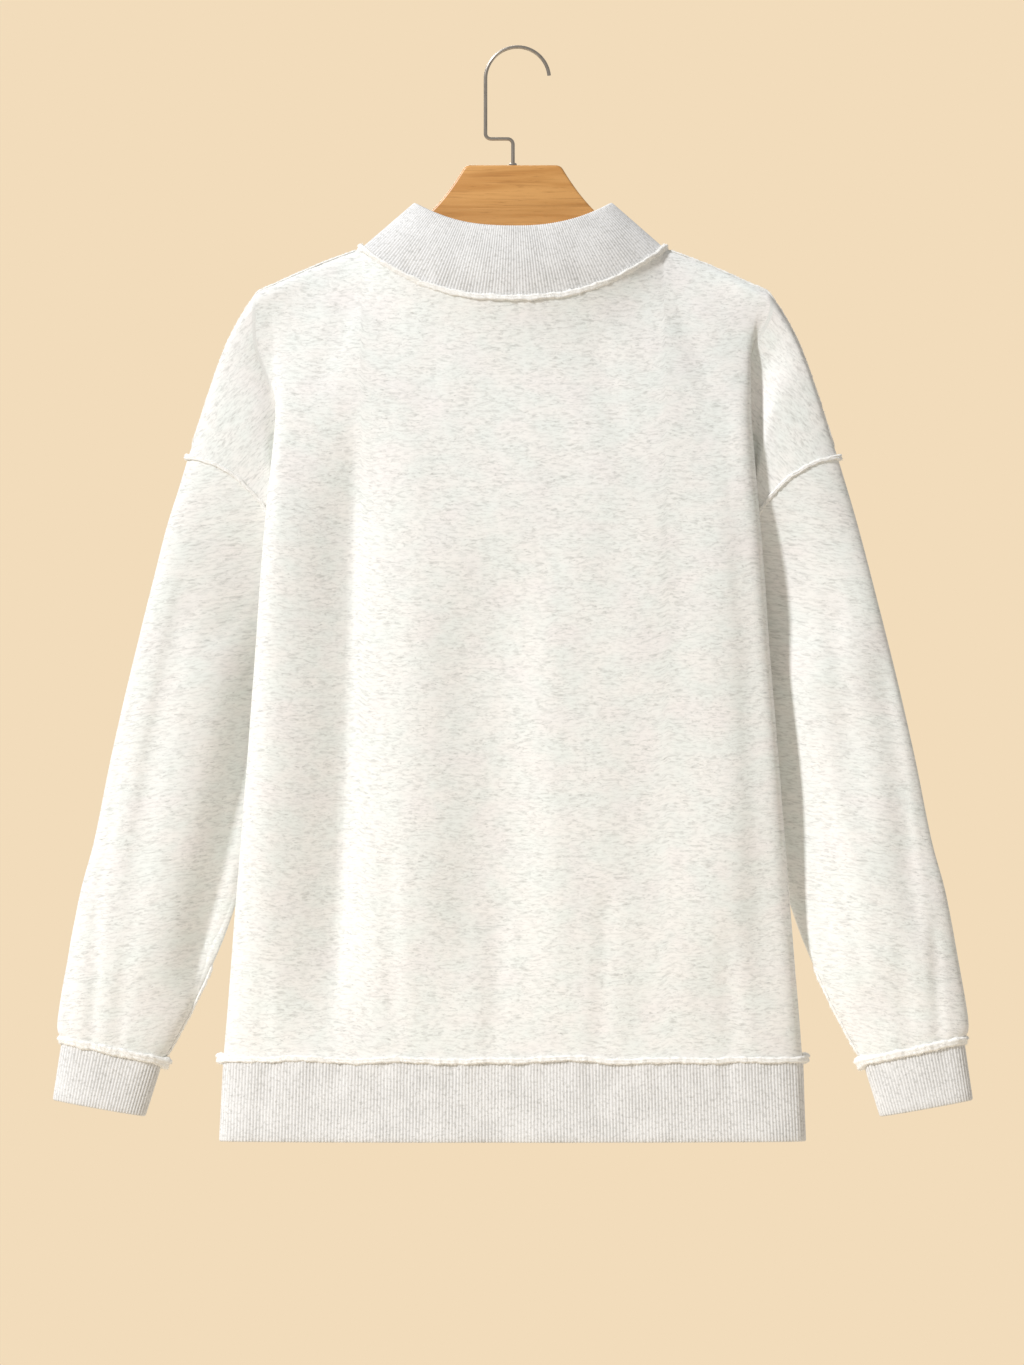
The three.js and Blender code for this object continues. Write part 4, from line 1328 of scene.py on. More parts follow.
def frayed_fibres() -> GeometryTree:
    """A tree that scatters short tapered fibres over a raw edge and joins them to it.

    Returns:
        The tree.
    """
    tree = GeometryTree("frayed_fibres", {
        "Per area": ("NodeSocketFloat", 500000.0), "Length": ("NodeSocketFloat", 0.0016),
        "Thickness": ("NodeSocketFloat", 0.00011), "Seed": ("NodeSocketInt", SEED),
        "Finish": ("NodeSocketMaterial", None),
    })
    spots = tree.add("GeometryNodeDistributePointsOnFaces", {
        "Mesh": tree.read("Geometry"), "Density": tree.read("Per area"), "Seed": tree.read("Seed"),
    })
    spike = tree.add("GeometryNodeMeshCone", {
        "Vertices": 3, "Radius Top": 0.0, "Radius Bottom": tree.read("Thickness"),
        "Depth": tree.read("Length"),
    }, fill_type="NONE").outputs["Mesh"]
    spread = {"Min": (-0.9, -0.9, -0.9), "Max": (0.9, 0.9, 0.9), "Seed": tree.read("Seed")}
    lean = tree.add("FunctionNodeRandomValue", spread, data_type="FLOAT_VECTOR").outputs[0]
    tilted = tree.add("FunctionNodeRotateRotation",
                      {"Rotation": spots.outputs["Rotation"], "Rotate By": lean},
                      rotation_space="LOCAL").outputs[0]
    length = tree.add("FunctionNodeRandomValue", {2: 0.4, 3: 1.3, "Seed": 3},
                      data_type="FLOAT").outputs[1]
    copies = tree.add("GeometryNodeInstanceOnPoints", {
        "Points": spots.outputs["Points"], "Instance": spike, "Rotation": tilted, "Scale": length,
    }).outputs[0]
    real = tree.add("GeometryNodeRealizeInstances", {"Geometry": copies}).outputs[0]
    joined = tree.add("GeometryNodeJoinGeometry")
    tree.tree.links.new(real, joined.inputs[0])
    tree.tree.links.new(tree.read("Geometry"), joined.inputs[0])
    done = tree.add("GeometryNodeSetMaterial",
                    {"Geometry": joined.outputs[0], "Material": tree.read("Finish")})
    tree.finish(done.outputs[0])
    return tree


# ---------------------------------------------------------------- raw seams


class Swell(NamedTuple):
    """A place where a seam's ridge grows, as where another seam's end sticks out of it."""

    at: np.ndarray
    height: float
    width: float
    reach: float


@dataclass
class RawSeam:
    """A seam sewn on the outside: two raw plies side by side, rolled into a wavy fuzzy ridge."""

    name: str
    replaces: str
    path: np.ndarray
    normals: np.ndarray
    looped: bool
    seed: int
    half_width: float = 2.9
    height: float = 2.6
    swells: tuple = ()
    pitch: float = 1.3
    sunk: float = 0.5

    PROFILE = (
        (-0.96, 0.0), (-1.06, 0.42), (-0.80, 0.86), (-0.42, 1.0), (-0.08, 0.84),
        (0.22, 0.90), (0.62, 0.96), (0.98, 0.62), (1.04, 0.28), (0.92, 0.0),
    )

    def build(self, fibres: GeometryTree, wardrobe: Wardrobe) -> bpy.types.Object:
        """Makes the ridge and its loose fibres.

        Args:
            fibres: The tree that frays the edge.
            wardrobe: The finishes.

        Returns:
            The object.
        """
        line = np.concatenate([self.path, self.normals], axis=1)
        length = line_length(self.path, self.looped)
        count = max(8, int(length / self.pitch))
        line = resample(line, count, self.looped)
        points, normals = line[:, :3], line[:, 3:]
        normals = normals / np.linalg.norm(normals, axis=1, keepdims=True)
        if self.looped:
            along = np.roll(points, -2, axis=0) - np.roll(points, 2, axis=0)
        else:
            along = np.gradient(points, axis=0)
        along = along / np.maximum(np.linalg.norm(along, axis=1, keepdims=True), 1e-9)
        across = np.cross(along, normals)
        across = across / np.linalg.norm(across, axis=1, keepdims=True)
        place = np.arange(count) * self.pitch
        sway = 0.55 * Wander(self.seed, (41.0, 23.0, 13.0)).at(place)
        wide = self.half_width * (1 + 0.16 * Wander(self.seed + 1, (31.0, 17.0, 8.0)).at(place))
        high = self.height * (1 + 0.18 * Wander(self.seed + 2, (27.0, 12.0, 6.0)).at(place))
        for swell in self.swells:
            away = np.linalg.norm(points - swell.at, axis=1)
            grown = np.exp(-((away / swell.reach) ** 2))
            wide = wide + swell.width * grown
            high = high + swell.height * grown
        if not self.looped:
            ends = np.minimum(place, place[::-1]) / 4.0
            taper = 0.35 + 0.65 * np.clip(ends, 0, 1)
            wide, high = wide * taper, high * taper
        draw = np.random.default_rng(self.seed)
        sections = []
        for b, n in self.PROFILE:
            rough = draw.normal(0.0, 0.16, (count, 2)) * (1.0 if n > 0 else 0.0)
            edge = (0.35 * Wander(self.seed + int(10 * b) + 20, (15.0, 7.0, 4.4)).at(place)
                    * (abs(b) > 0.5))
            aside = b * wide + sway + edge + rough[:, 0]
            up = n * high - self.sunk + rough[:, 1]
            sections.append(points + across * aside[:, None] + normals * up[:, None])
        ring = len(sections)
        rows = np.stack(sections, axis=1)
        faces = []
        for i in range(count if self.looped else count - 1):
            j = (i + 1) % count
            for k in range(ring):
                m = (k + 1) % ring
                faces.append((i * ring + k, i * ring + m, j * ring + m, j * ring + k))
        if not self.looped:
            faces.append(tuple(reversed(range(ring))))
            faces.append(tuple((count - 1) * ring + k for k in range(ring)))
        obj = make_mesh(self.name, rows.reshape(-1, 3), faces)
        face_outwards(obj)
        wardrobe.dress(obj, Finish.RAW_EDGE)
        fibres.apply(obj, {"Seed": self.seed, "Finish": wardrobe.materials[Finish.RAW_EDGE]})
        return obj


def face_outwards(obj: bpy.types.Object) -> None:
    """Turns a closed mesh's faces outwards if its volume comes out negative.

    Args:
        obj: The object, whose mesh is changed.
    """
    mesh = obj.data
    mesh.calc_loop_triangles()
    corners = np.array([v.co[:] for v in mesh.vertices])
    triangles = np.array([t.vertices[:] for t in mesh.loop_triangles])
    a, b, c = corners[triangles[:, 0]], corners[triangles[:, 1]], corners[triangles[:, 2]]
    if float(np.sum(a * np.cross(b, c))) < 0:
        mesh.flip_normals()


# ---------------------------------------------------------------- the garment


def relax(grid: np.ndarray, weight: np.ndarray, passes: int) -> np.ndarray:
    """Lets a grid's points settle towards their neighbours, which softens hard turns.

    Args:
        grid: The points.
        weight: How freely each point moves, from 0 to 1.
        passes: How many times they move.

    Returns:
        The settled points.
    """
    grid = grid.copy()
    over = np.abs(np.diff(grid[1:-1, :, 0], axis=1)) + 1e-6
    down = np.abs(np.diff(grid[:, 1:-1, 2], axis=0)) + 1e-6
    right = over[:, :-1] / (over[:, :-1] + over[:, 1:])
    below = down[:-1] / (down[:-1] + down[1:])
    free = weight[1:-1, 1:-1]
    y = grid[..., 1]
    for _ in range(passes):
        across = y[1:-1, :-2] * (1 - right) + y[1:-1, 2:] * right
        along = y[:-2, 1:-1] * (1 - below) + y[2:, 1:-1] * below
        y[1:-1, 1:-1] += ((across + along) / 2 - y[1:-1, 1:-1]) * free
    return grid


def drape_noise(grid: np.ndarray, normals: np.ndarray, seed: int, amount: float,
                weight: np.ndarray) -> np.ndarray:
    """Adds the cloth's slow irregular swells, which no single fold explains.

    Args:
        grid: The points.
        normals: Their normals.
        seed: The seed of the swells.
        amount: Their height in millimetres.
        weight: How much each point follows.

    Returns:
        The moved points.
    """
    x, z = grid[..., 0], grid[..., 2]
    first = Wander(seed, (230.0, 131.0)).at(x + 0.22 * z) * Wander(seed + 1, (520.0, 290.0)).at(z)
    second = Wander(seed + 2, (83.0, 57.0)).at(x - 0.15 * z) * Wander(seed + 3, (240.0, 150.0)).at(z)
    return grid + normals * ((first + 0.5 * second) * amount * weight)[..., None]


@dataclass
class Body:
    """The back and front panels, which meet in the shoulder and side seams."""

    fleece: float = 2.4
    swell: float = 1.3
    settling: int = 240
    hem_wave_from: float = 1.82
    back: np.ndarray = field(init=False)
    front: np.ndarray = field(init=False)

    def __post_init__(self) -> None:
        """Works out both surfaces and presses their folds."""
        self.back = self.surface(FORM.back_point, 1, BACK_FOLDS, 31)
        self.front = self.surface(FORM.front_point, -1, FRONT_FOLDS, 47)

    def surface(self, point: Callable, face: int, folds: Sequence[Fold], seed: int) -> np.ndarray:
        """One panel's grid with its folds.

        Args:
            point: The form's surface, by place.
            face: 1 for the back and -1 for the front.
            folds: The panel's folds.
            seed: The seed of its slow swells.

        Returns:
            The grid, shape (rows, columns, 3).
        """
        grid = np.array([[point(s, v) for s in COLUMNS] for v in ROWS])
        s = np.abs(np.array(COLUMNS))[None, :]
        v = np.array(ROWS)[:, None]
        limit, reach = (1.9, 0.6) if face > 0 else (3.2, 0.7)
        weight = (1 - soft_step((s - limit) / reach)) * soft_step(v / 0.1)
        above_hem = 1 - soft_step((v - 1.9) / 0.1)
        free = (1 - soft_step((s - 1.5) / 0.4)) * soft_step(v / 0.05) * above_hem
        grid = relax(grid, free, self.settling)
        normals = grid_normals(grid, False, facing(face))
        grid = press(grid, normals, folds, weight)
        grid = drape_noise(grid, normals, seed, self.swell, weight * above_hem)
        follows = soft_step((v - self.hem_wave_from) / (2 - self.hem_wave_from))
        grid[..., 2] += hem_lift(grid[..., 0]) * follows
        return grid

    @property
    def middle(self) -> int:
        """The column down the centre."""
        return len(COLUMNS) // 2

    def hem_ring(self) -> np.ndarray:
        """The hem seam, from the wearer's left over the back to the right and round the front."""
        return np.concatenate([self.back[-1][::-1], self.front[-1][1:-1]])

    def neck_ring(self) -> np.ndarray:
        """The neck seam in the same order.

        Returns:
            The seam's points, a closed ring.
        """
        first = COLUMNS.index(-1.0)
        last = COLUMNS.index(1.0)
        return np.concatenate([self.back[0][first:last + 1][::-1], self.front[0][first + 1:last]])

    def armhole(self, side: int) -> np.ndarray:
        """The armhole seam on one side, from its outer tip over the back and round.

        Args:
            side: 1 for the wearer's left and -1 for the right.

        Returns:
            The seam's points, a closed ring.
        """
        column = -1 if side > 0 else 0
        behind = self.back[:ARMHOLE_STEPS + 1, column]
        before = self.front[1:ARMHOLE_STEPS, column]
        return np.concatenate([behind, before[::-1]])

    def shoulder(self, side: int) -> np.ndarray:
        """The shoulder seam from the neck corner out.

        Args:
            side: 1 for the wearer's left and -1 for the right.

        Returns:
            The seam's points, without its two ends.
        """
        corner = COLUMNS.index(float(side))
        line = self.back[0][corner:] if side > 0 else self.back[0][:corner + 1][::-1]
        return line[1:-1]

    def panels(self) -> list:
        """The shells of both panels.

        Returns:
            The back's shell and the front's.
        """
        middle = self.middle
        return [
            Shell("back_panel_cloth", self.back, self.fleece, False, facing(1),
                  hung_uv(self.back, middle)),
            Shell("front_panel_cloth", self.front, self.fleece, False, facing(-1),
                  hung_uv(self.front, middle)),
        ]


@dataclass
class Sleeve:
    """One dropped-shoulder sleeve, hanging as a flattened tube from the armhole seam."""

    side: int
    word: str
    armhole: np.ndarray
    fleece: float = 2.4
    swell: float = 1.5
    hold: float = 0.45
    grid: np.ndarray = field(init=False)

    def __post_init__(self) -> None:
        """Works out the rings and presses their folds."""
        straight = FORM.tube_ring(self.side, FORM.sleeve_row(0.0), RING_TURNS)
        pull = self.armhole - straight
        rings = [self.armhole]
        for i in range(1, SLEEVE_STEPS + 1):
            w = i / SLEEVE_STEPS
            keep = max(0.0, 1 - w / self.hold) ** 2
            rings.append(FORM.tube_ring(self.side, FORM.sleeve_row(w), RING_TURNS) + pull * keep)
        grid = np.array(rings)
        normals = grid_normals(grid, True, away_from_axis)
        w = np.linspace(0, 1, SLEEVE_STEPS + 1)[:, None]
        seams = soft_step(w / 0.06)
        mirrored = tuple(
            Fold(self.side * f.x0, f.z0, self.side * f.x1, f.z1,
                 *((f.wide, f.narrow)[::self.side]), f.depth,
                 self.side * f.bow, f.fade, f.crisp) for f in SLEEVE_FOLDS[self.side])
        behind = soft_step((normals[..., 1] - 0.1) / 0.5)
        before = soft_step((-normals[..., 1] - 0.1) / 0.5)
        grid = press(grid, normals, mirrored, (behind + 0.8 * before) * seams)
        weight = (behind + before) * seams * (1 - soft_step((w - 0.93) / 0.07))
        self.grid = drape_noise(grid, normals, 61 + self.side, self.swell, weight)

    def shell(self) -> Shell:
        """The sleeve's cloth."""
        name = f"sleeve_{self.word}_cloth"
        return Shell(name, self.grid, self.fleece, True, away_from_axis, ring_uv(self.grid))

    def underarm_line(self, start: float) -> tuple:
        """The lower stretch of the underarm seam and its normals.

        Args:
            start: Where the stretch starts, as a share of the sleeve's length.

        Returns:
            The seam's points and their normals.
        """
        normals = grid_normals(self.grid, True, away_from_axis)
        first = int(start * SLEEVE_STEPS)
        return self.grid[first:-2, ARMHOLE_STEPS], normals[first:-2, ARMHOLE_STEPS]


@dataclass
class RibBand:
    """A tube of folded rib between two rings: the collar, the hem band or a cuff."""

    name: str
    first: np.ndarray
    last: np.ndarray
    rows: int
    bulge: float = 0.0
    gather: float = 0.6
    seed: int = 3
    thickness: float = 3.0
    pitch: float = 2.7
    per_wale: int = 4
    wale_height: float = 0.26

    def build(self, wales: GeometryTree, wardrobe: Wardrobe) -> bpy.types.Object:
        """Makes the band with its wales raised.

        Args:
            wales: The tree that raises them.
            wardrobe: The finishes.

        Returns:
            The object.
        """
        count = int(line_length(self.first, True) / self.pitch)
        columns = count * self.per_wale
        both = resample(np.concatenate([self.first, self.last], axis=1), columns, True)
        start, end = both[:, :3], both[:, 3:]
        rings = []
        for j in range(self.rows + 1):
            t = j / self.rows
            ring = start + (end - start) * t
            ring[:, 1] *= 1 + self.bulge * math.sin(math.pi * t)
            rings.append(ring)
        grid = np.array(rings)
        normals = grid_normals(grid, True, away_from_axis)
        place = np.arange(columns) * self.pitch / self.per_wale
        t = np.linspace(0, 1, self.rows + 1)[:, None]
        puckers = Wander(self.seed, (46.0, 29.0, 19.0)).at(place)[None, :] * (1 - soft_step(t / 0.7))
        waves = Wander(self.seed + 5, (160.0, 93.0)).at(place)[None, :] * t
        grid = grid + normals * (self.gather * (puckers + 0.9 * waves))[..., None]
        down = np.concatenate(
            [[0.0], np.cumsum(np.linalg.norm(np.diff(grid, axis=0), axis=2).mean(axis=1))])
        across = np.arange(columns + 1) * self.pitch / self.per_wale
        uv = np.stack(np.broadcast_arrays(across[None, :], -down[:, None]), axis=2)
        obj = Shell(self.name, grid, self.thickness, True, away_from_axis, uv, round_last=True).build()
        wale = obj.data.attributes.new("wale", "FLOAT", "POINT")
        turns = np.arange(columns) / self.per_wale
        wale.data.foreach_set("value", np.tile(turns, len(obj.data.vertices) // columns))
        wardrobe.dress(obj, Finish.RIB)
        values = {"Height": self.wale_height * MM, "Finish": wardrobe.materials[Finish.RIB]}
        wales.apply(obj, values)
        return obj


class Cut(NamedTuple):
    """The flat size that a piece was cut to, in metres, and its area in square metres."""

    width: float
    length: float
    area: float


class Garment:
    """The whole sweatshirt: its panels, sleeves, ribs and raw seams."""

    COLLAR_HALF = 83.0
    COLLAR_CORNER_Z = -129.0
    COLLAR_BACK_Z = -150.0
    COLLAR_FRONT_Z = -186.0
    COLLAR_DEPTH = 30.0
    HEM_WIDEN = 245 / 242
    HEM_HEIGHT = 67.0
    SLEEVE_SEAM_START = 0.66
    SHOULDER_RIDGE_TURN = 0.62

    def __init__(self, wardrobe: Wardrobe) -> None:
        """Prepares the body and the trees.

        Args:
            wardrobe: The finishes.
        """
        self.wardrobe = wardrobe
        self.body = Body()
        self.wales = rib_wales()
        self.fibres = frayed_fibres()
        self.pieces = {}
        self.seams = {}

    def keep(self, node: str, obj: bpy.types.Object) -> None:
        """Notes the piece that stands for a node."""
        self.pieces[node] = obj
        log.info("%s: %d faces", obj.name, len(obj.data.polygons))

    def build(self) -> None:
        """Makes every piece in the order in which a maker would sew them."""
        for node, shell in zip(("back_panel", "front_panel"), self.body.panels()):
            obj = shell.build()
            self.wardrobe.dress(obj, Finish.FLEECE)
            self.keep(node, obj)
        for side, word in SIDES:
            self.build_sleeve(side, word)
        self.build_collar()
        self.build_hem()
        self.build_shoulders()

    def collar_top(self, count: int) -> np.ndarray:
        """The collar's folded top edge, a point for each point of the neck seam.

        Args:
            count: How many points the neck seam has.

        Returns:
            The edge's points, in the neck seam's order.
        """
        points = []
        for i in range(count):
            turn = i / count * 2 * math.pi
            x = self.COLLAR_HALF * math.cos(turn)
            rise = math.sin(turn)
            low = self.COLLAR_BACK_Z if rise >= 0 else self.COLLAR_FRONT_Z
            z = low + (self.COLLAR_CORNER_Z - low) * abs(x / self.COLLAR_HALF) ** 2.4
            points.append((x, self.COLLAR_DEPTH * math.copysign(abs(rise) ** 0.9, rise), z))
        return np.array(points)

    def build_collar(self) -> None:
        """Makes the collar and the neck seam's ridge."""
        neck = self.body.neck_ring()
        top = self.collar_top(len(neck))
        obj = RibBand("collar_rib", neck, top, rows=16, bulge=0.10, gather=0.4, seed=71).build(
            self.wales, self.wardrobe)
        self.keep("collar", obj)
        out = away_from_axis(neck[None])[0]
        out[:, 2] = 0
        normals = out / np.linalg.norm(out, axis=1, keepdims=True) + np.array([0, 0, 0.15])
        corners = tuple(
            Swell(np.array([side * FORM.neck_half, 0.0, FORM.neck_corner_z]), height=1.8, width=0.8,
                  reach=6.0) for side, _ in SIDES)
        self.add_seam("neck", neck, normals, looped=True, seed=101, swells=corners, half_width=2.4,
                      height=2.7)

    def build_hem(self) -> None:
        """Makes the hem band and its seam's ridge."""
        seam = self.body.hem_ring()
        low = seam.copy()
        low[:, 0] *= self.HEM_WIDEN
        low[:, 2] = FORM.hem_seam_z - self.HEM_HEIGHT
        obj = RibBand("hem_band_rib", seam, low, rows=12, gather=0.7, seed=83).build(
            self.wales, self.wardrobe)
        self.keep("hem_band", obj)
        normals = away_from_axis(seam[None])[0]
        normals[:, 1] *= 6
        normals[:, 2] = 0
        ends = tuple(
            Swell(seam[i], height=4.6, width=2.2, reach=3.6) for i in (0, len(COLUMNS) - 1))
        self.add_seam("hem", seam, normals, looped=True, seed=113, swells=ends, half_width=2.4,
                      height=2.9)

    def build_sleeve(self, side: int, word: str) -> None:
        """Makes one sleeve with its cuff and its three seams' ridges.

        Args:
            side: 1 for the wearer's left and -1 for the right.
            word: The side in words.
        """
        sleeve = Sleeve(side, word, self.body.armhole(side))
        obj = sleeve.shell().build()
        self.wardrobe.dress(obj, Finish.FLEECE)
        self.keep(f"sleeve_{word}", obj)
        normals = grid_normals(sleeve.grid, True, away_from_axis)
        seam = sleeve.grid[-1]
        end = FORM.tube_ring(side, FORM.cuff_end, RING_TURNS)
        cuff = RibBand(f"cuff_{word}_rib", seam, end, rows=10, gather=0.5, seed=91 + side).build(
            self.wales, self.wardrobe)
        self.keep(f"cuff_{word}", cuff)
        inner = Swell(seam[ARMHOLE_STEPS], height=5.0, width=2.0, reach=4.2)
        outer = Swell(seam[0], height=1.6, width=0.6, reach=4.0)
        self.add_seam(f"cuff_{word}", seam, normals[-1], looped=True, seed=127 + side,
                      swells=(inner, outer), half_width=3.4, height=3.0)
        line, lifts = sleeve.underarm_line(self.SLEEVE_SEAM_START)
        self.add_seam(f"sleeve_{word}", line, lifts, looped=False, seed=139 + side, half_width=2.2,
                      height=2.2)
        self.build_armhole_seam(side, word, normals)

    def build_armhole_seam(self, side: int, word: str, normals: np.ndarray) -> None:
        """Makes the armhole seam's ridge, from the back's fold over the tip to the front.

        Args:
            side: 1 for the wearer's left and -1 for the right.
            word: The side in words.
            normals: The sleeve's normals.
        """
        loop = self.body.armhole(side)
        behind = [i for i, turn in enumerate(ARMHOLE_TURNS) if turn <= self.SHOULDER_RIDGE_TURN][::-1]
        before = [i for i in range(len(loop) - 1, ARMHOLE_STEPS + 6, -1)]
        order = behind + before
        tip = Swell(loop[0], height=2.4, width=1.0, reach=5.0)
        self.add_seam(f"armhole_{word}", loop[order], normals[1][order], looped=False,
                      seed=151 + side, swells=(tip,), half_width=1.6, height=2.0)

    def build_shoulders(self) -> None:
        """Makes the shoulder seams' ridges."""
        for side, word in SIDES:
            line = self.body.shoulder(side)
            run = np.gradient(line, axis=0)
            up = np.stack([-run[:, 2] * side, np.zeros(len(line)), np.abs(run[:, 0])], axis=1)
            up[:, 0] = np.abs(up[:, 0]) * side
            self.add_seam(f"shoulder_{word}", line, up, looped=False, seed=163 + side, half_width=1.7,
                          height=1.3)

    def add_seam(self, name: str, path: np.ndarray, normals: np.ndarray, looped: bool,
                 seed: int, **sizes) -> None:
        """Makes one raw seam and notes it.

        Args:
            name: What the seam's node is named after.
            path: The seam's points.
            normals: The directions in which the ridge stands up.
            looped: Whether the seam is a closed ring.
            seed: The seed of its waves.
            sizes: Sizes of the ridge that differ from the usual ones.
        """
        unit = normals / np.maximum(np.linalg.norm(normals, axis=1, keepdims=True), 1e-9)
        seam = RawSeam(f"raw_seam_{name}", f"seam_{name}", path, unit, looped, seed, **sizes)
        obj = seam.build(self.fibres, self.wardrobe)
        self.seams[seam.replaces] = obj
        log.info("%s: %d faces", obj.name, len(obj.data.polygons))

    def declare(self) -> None:
        """Says what each piece rides on and stands for."""
        for node, obj in self.pieces.items():
            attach(obj, BODY)
            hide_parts(node)
        for node, obj in self.seams.items():
            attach(obj, BODY)
            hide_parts(node)


# ---------------------------------------------------------------- the hanger


@dataclass(frozen=True)
class Hanger:
    """A flat wooden hanger with a bent wire hook, in millimetres."""

    board: float = 11.0
    top_z: float = -97.0
    top_half: float = 38.0
    arm_clear: float = 7.5
    arm_height: float = 27.0
    arm_end_x: float = 206.0
    centre_bottom_z: float = -170.0
    bevel: float = 2.0
    wire: float = 3.0
    hook_radius: float = 26.6
    hook_x: float = -3.7
    hook_z: float = -24.8
    tip_angle: float = 174.0
    jog_z: float = -74.9
    bend: float = 4.5
    stem_depth: float = 18.0
    curve_steps: int = 14

    def outline(self) -> list:
        """The board's outline: level top, hollow sides, arms along the shoulders, arched underside.

        Returns:
            The outline's points as (x, z).
        """
        start = (FORM.neck_half + 2, FORM.neck_corner_z - self.arm_clear - 6.5)
        end_x = along_rows(FORM.shoulder, "x", 2 / 6)
        end_z = along_rows(FORM.shoulder, "z", 2 / 6) - self.arm_clear
        low_z = end_z - self.arm_height
        curves = [
            ((self.top_half + 2, self.top_z), (self.top_half + 4, self.top_z - 4)),
            ((62, -134), (84, -148)),
            ((104, -161), start),
            ((mix(start[0], end_x, 0.52), start[1] - 9), (end_x, end_z)),
            ((self.arm_end_x + 7, end_z - 4), (self.arm_end_x + 6, end_z - 14)),
            ((self.arm_end_x + 5, low_z + 2), (self.arm_end_x - 8, low_z + 3)),
            ((110, -190), (0, self.centre_bottom_z)),
        ]
        half = [(self.top_half - 3, self.top_z)]
        for control, end in curves:
            begin = half[-1]
            for i in range(1, self.curve_steps + 1):
                t = i / self.curve_steps
                half.append(tuple(
                    (1 - t) ** 2 * begin[k] + 2 * t * (1 - t) * control[k] + t * t * end[k]
                    for k in (0, 1)))
        return half + [(-x, z) for x, z in reversed(half[:-1])]

    def build_board(self, wardrobe: Wardrobe) -> bpy.types.Object:
        """Makes the board with rounded edges.

        Args:
            wardrobe: The finishes.

        Returns:
            The object.
        """
        outline = self.outline()
        count = len(outline)
        points = [(x, side * self.board / 2, z) for side in (-1, 1) for x, z in outline]
        faces = [tuple(range(count)), tuple(reversed(range(count, 2 * count)))]
        for i in range(count):
            j = (i + 1) % count
            faces.append((i, i + count, j + count, j))
        obj = make_mesh("hanger_board", np.array(points), faces)
        face_outwards(obj)
        rounding = obj.modifiers.new("rounded edges", "BEVEL")
        rounding.width = self.bevel * MM
        rounding.segments = 3
        rounding.limit_method = "ANGLE"
        rounding.angle_limit = math.radians(50)
        bake_modifiers(obj)
        obj.data.set_sharp_from_angle(angle=math.radians(40))
        wardrobe.dress(obj, Finish.WOOD)
        return obj

    def hook_line(self) -> list:
        """The wire's centre line: up the stem, along the jog, up the rise and over the crown.

        Returns:
            The line's points as (x, z).
        """
        rise_x = self.hook_x + self.hook_radius
        line = [(0.0, self.top_z - self.stem_depth)]
        line += arc(self.bend, self.jog_z - self.bend, self.bend, 180, 90, 8)
        line += arc(rise_x - self.bend, self.jog_z + self.bend, self.bend, -90, 0, 8)
        line += arc(self.hook_x, self.hook_z, self.hook_radius, 0, self.tip_angle, 60)
        return line

    def build_hook(self, wardrobe: Wardrobe) -> bpy.types.Object:
        """Makes the wire hook as a round tube with closed ends.

        Args:
            wardrobe: The finishes.

        Returns:
            The object.
        """
        curve = bpy.data.curves.new("hook_line", "CURVE")
        curve.dimensions = "3D"
        curve.bevel_depth = self.wire / 2 * MM
        curve.bevel_resolution = 6
        curve.use_fill_caps = True
        spline = curve.splines.new("POLY")
        line = self.hook_line()
        spline.points.add(len(line) - 1)
        for point, (x, z) in zip(spline.points, line):
            point.co = (x * MM, 0.0, z * MM, 1.0)
        maker = bpy.data.objects.new("hook_line", curve)
        bpy.context.scene.collection.objects.link(maker)
        bpy.context.view_layer.update()
        graph = bpy.context.evaluated_depsgraph_get()
        mesh = bpy.data.meshes.new_from_object(maker.evaluated_get(graph))
        bpy.data.objects.remove(maker)
        bpy.data.curves.remove(curve)
        mesh.polygons.foreach_set("use_smooth", [True] * len(mesh.polygons))
        obj = bpy.data.objects.new("hanger_wire_hook", mesh)
        bpy.context.scene.collection.objects.link(obj)
        face_outwards(obj)
        wardrobe.dress(obj, Finish.WIRE)
        return obj

    def build(self, wardrobe: Wardrobe) -> None:
        """Makes the hanger and says what its pieces stand for.

        Args:
            wardrobe: The finishes.
        """
        pieces = (
            (self.build_board(wardrobe), "hanger_wood", Finish.WOOD),
            (self.build_hook(wardrobe), "hanger_hook", Finish.WIRE),
        )
        for obj, node, finish in pieces:
            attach(obj, BODY)
            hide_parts(node)
            log.info("%s: %d faces", obj.name, len(obj.data.polygons))
        wardrobe.dress(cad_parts["hanger_ferrule"], Finish.WIRE)
        log.info("hanger_ferrule: dressed")


def arc(x: float, z: float, radius: float, start: float, end: float, steps: int) -> list:
    """Points of an arc in degrees, both ends included."""
    turns = [math.radians(mix(start, end, i / steps)) for i in range(steps + 1)]
    return [(x + radius * math.cos(turn), z + radius * math.sin(turn)) for turn in turns]


def bake_modifiers(obj: bpy.types.Object) -> None:
    """Turns an object's modifiers into its mesh.

    Args:
        obj: The object, whose mesh is replaced.
    """
    bpy.context.view_layer.update()
    graph = bpy.context.evaluated_depsgraph_get()
    mesh = bpy.data.meshes.new_from_object(obj.evaluated_get(graph))
    obj.modifiers.clear()
    old = obj.data
    obj.data = mesh
    mesh.name = obj.name
    bpy.data.meshes.remove(old)


# ---------------------------------------------------------------- the studio


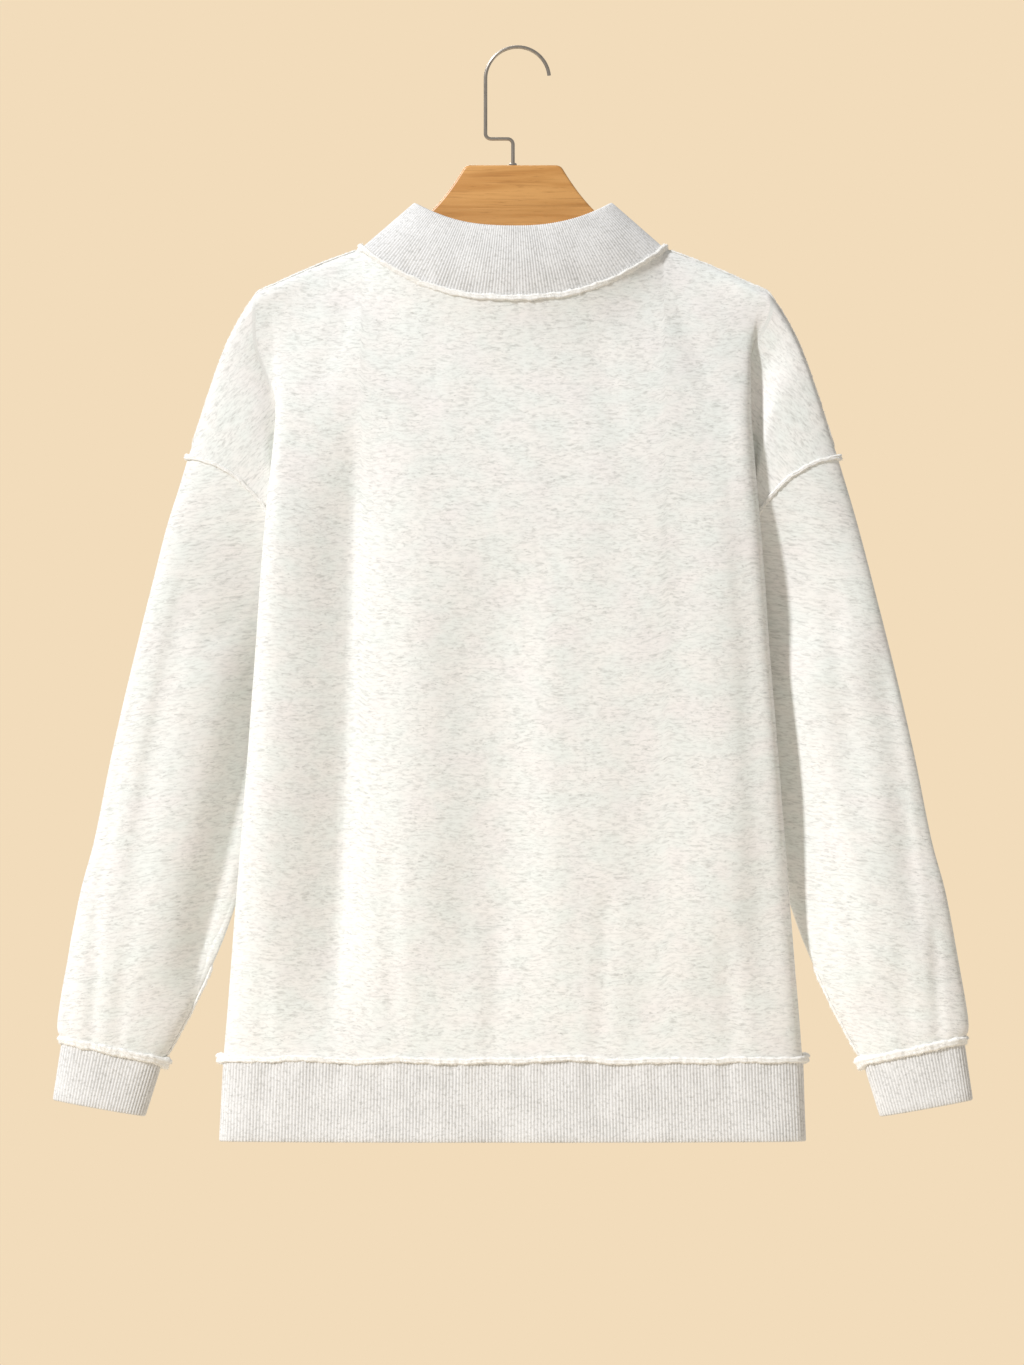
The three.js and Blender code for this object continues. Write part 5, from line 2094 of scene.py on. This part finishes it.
@dataclass(frozen=True)
class Studio:
    """A pale floor, a key light from the upper left, a weak far-side lamp, even fill and a camera."""

    camera_distance: float = 6.0
    view_height: float = 1.133
    aim: tuple = (0.0008, 0.03, -0.5283)
    sensor: float = 36.0
    floor_z: float = -1.30
    floor_size: float = 3.6
    key_direction: tuple = (0.62, 0.54, 0.57)
    key_strength: float = 3.0
    key_angle: float = 6.0
    key_tone: str = "#f9fbff"
    fill: str = "#fdfaf6"
    fill_strength: float = 0.425
    back_direction: tuple = (0.35, -0.80, 0.48)
    back_strength: float = 1.5
    back_angle: float = 40.0
    backdrop: str = "#f2dcbb"

    def build(self) -> None:
        """Makes the floor, the lights and the camera."""
        self.build_floor()
        self.build_lights()
        self.build_camera()

    def build_floor(self) -> None:
        """Makes the floor, which isn't part of the garment."""
        half = self.floor_size / 2 / MM
        z = self.floor_z / MM
        corners = np.array([(-half, -half, z), (half, -half, z), (half, half, z), (-half, half, z)])
        floor = make_mesh("floor", corners, [(0, 1, 2, 3)])
        floor.data.materials.append(PaleFloor().material())

    def build_lights(self) -> None:
        """Makes the key light, a weak one for the far side, and the world's even light."""
        self.add_lamp("key", self.key_direction, self.key_strength, self.key_angle)
        self.add_lamp("far_side", self.back_direction, self.back_strength, self.back_angle)
        world = bpy.data.worlds.new("studio")
        world.use_nodes = True
        world.node_tree.nodes.clear()
        tree = world.node_tree
        fill = add_node(tree, "ShaderNodeBackground",
                        {"Color": linear(self.fill), "Strength": self.fill_strength})
        seen = add_node(tree, "ShaderNodeBackground",
                        {"Color": linear(self.backdrop), "Strength": 1.0})
        direct = add_node(tree, "ShaderNodeLightPath").outputs["Is Camera Ray"]
        both = add_node(tree, "ShaderNodeMixShader", {0: direct, 1: fill.outputs[0], 2: seen.outputs[0]})
        add_node(tree, "ShaderNodeOutputWorld", {"Surface": both.outputs[0]})
        bpy.context.scene.world = world
        bpy.context.scene.view_settings.view_transform = "Standard"

    def add_lamp(self, name: str, direction: tuple, strength: float, angle: float) -> None:
        """Adds a distant lamp that shines from a direction.

        Args:
            name: The lamp's name.
            direction: Where it shines from.
            strength: Its strength in watts for each square metre.
            angle: How wide it looks, in degrees.
        """
        light = bpy.data.lights.new(name, "SUN")
        light.energy = strength
        light.color = linear(self.key_tone)[:3]
        light.angle = math.radians(angle)
        lamp = bpy.data.objects.new(name, light)
        bpy.context.scene.collection.objects.link(lamp)
        lamp.rotation_euler = Vector(direction).to_track_quat("Z", "Y").to_euler()

    def build_camera(self) -> None:
        """Makes the camera, level with the middle of the view and straight behind the garment."""
        camera = bpy.data.cameras.new("camera")
        camera.sensor_fit = "VERTICAL"
        camera.sensor_height = self.sensor
        camera.lens = self.sensor * self.camera_distance / self.view_height
        camera.clip_end = 50
        obj = bpy.data.objects.new("camera", camera)
        bpy.context.scene.collection.objects.link(obj)
        obj.location = (self.aim[0], self.aim[1] + self.camera_distance, self.aim[2])
        obj.rotation_euler = (math.radians(90), 0, math.radians(180))
        bpy.context.scene.camera = obj


def main() -> None:
    """Builds the studio, the garment and the hanger, and declares every piece."""
    Studio().build()
    wardrobe = Wardrobe()
    garment = Garment(wardrobe)
    garment.build()
    Hanger().build(wardrobe)
    garment.declare()


if __name__ == "__main__":
    main()
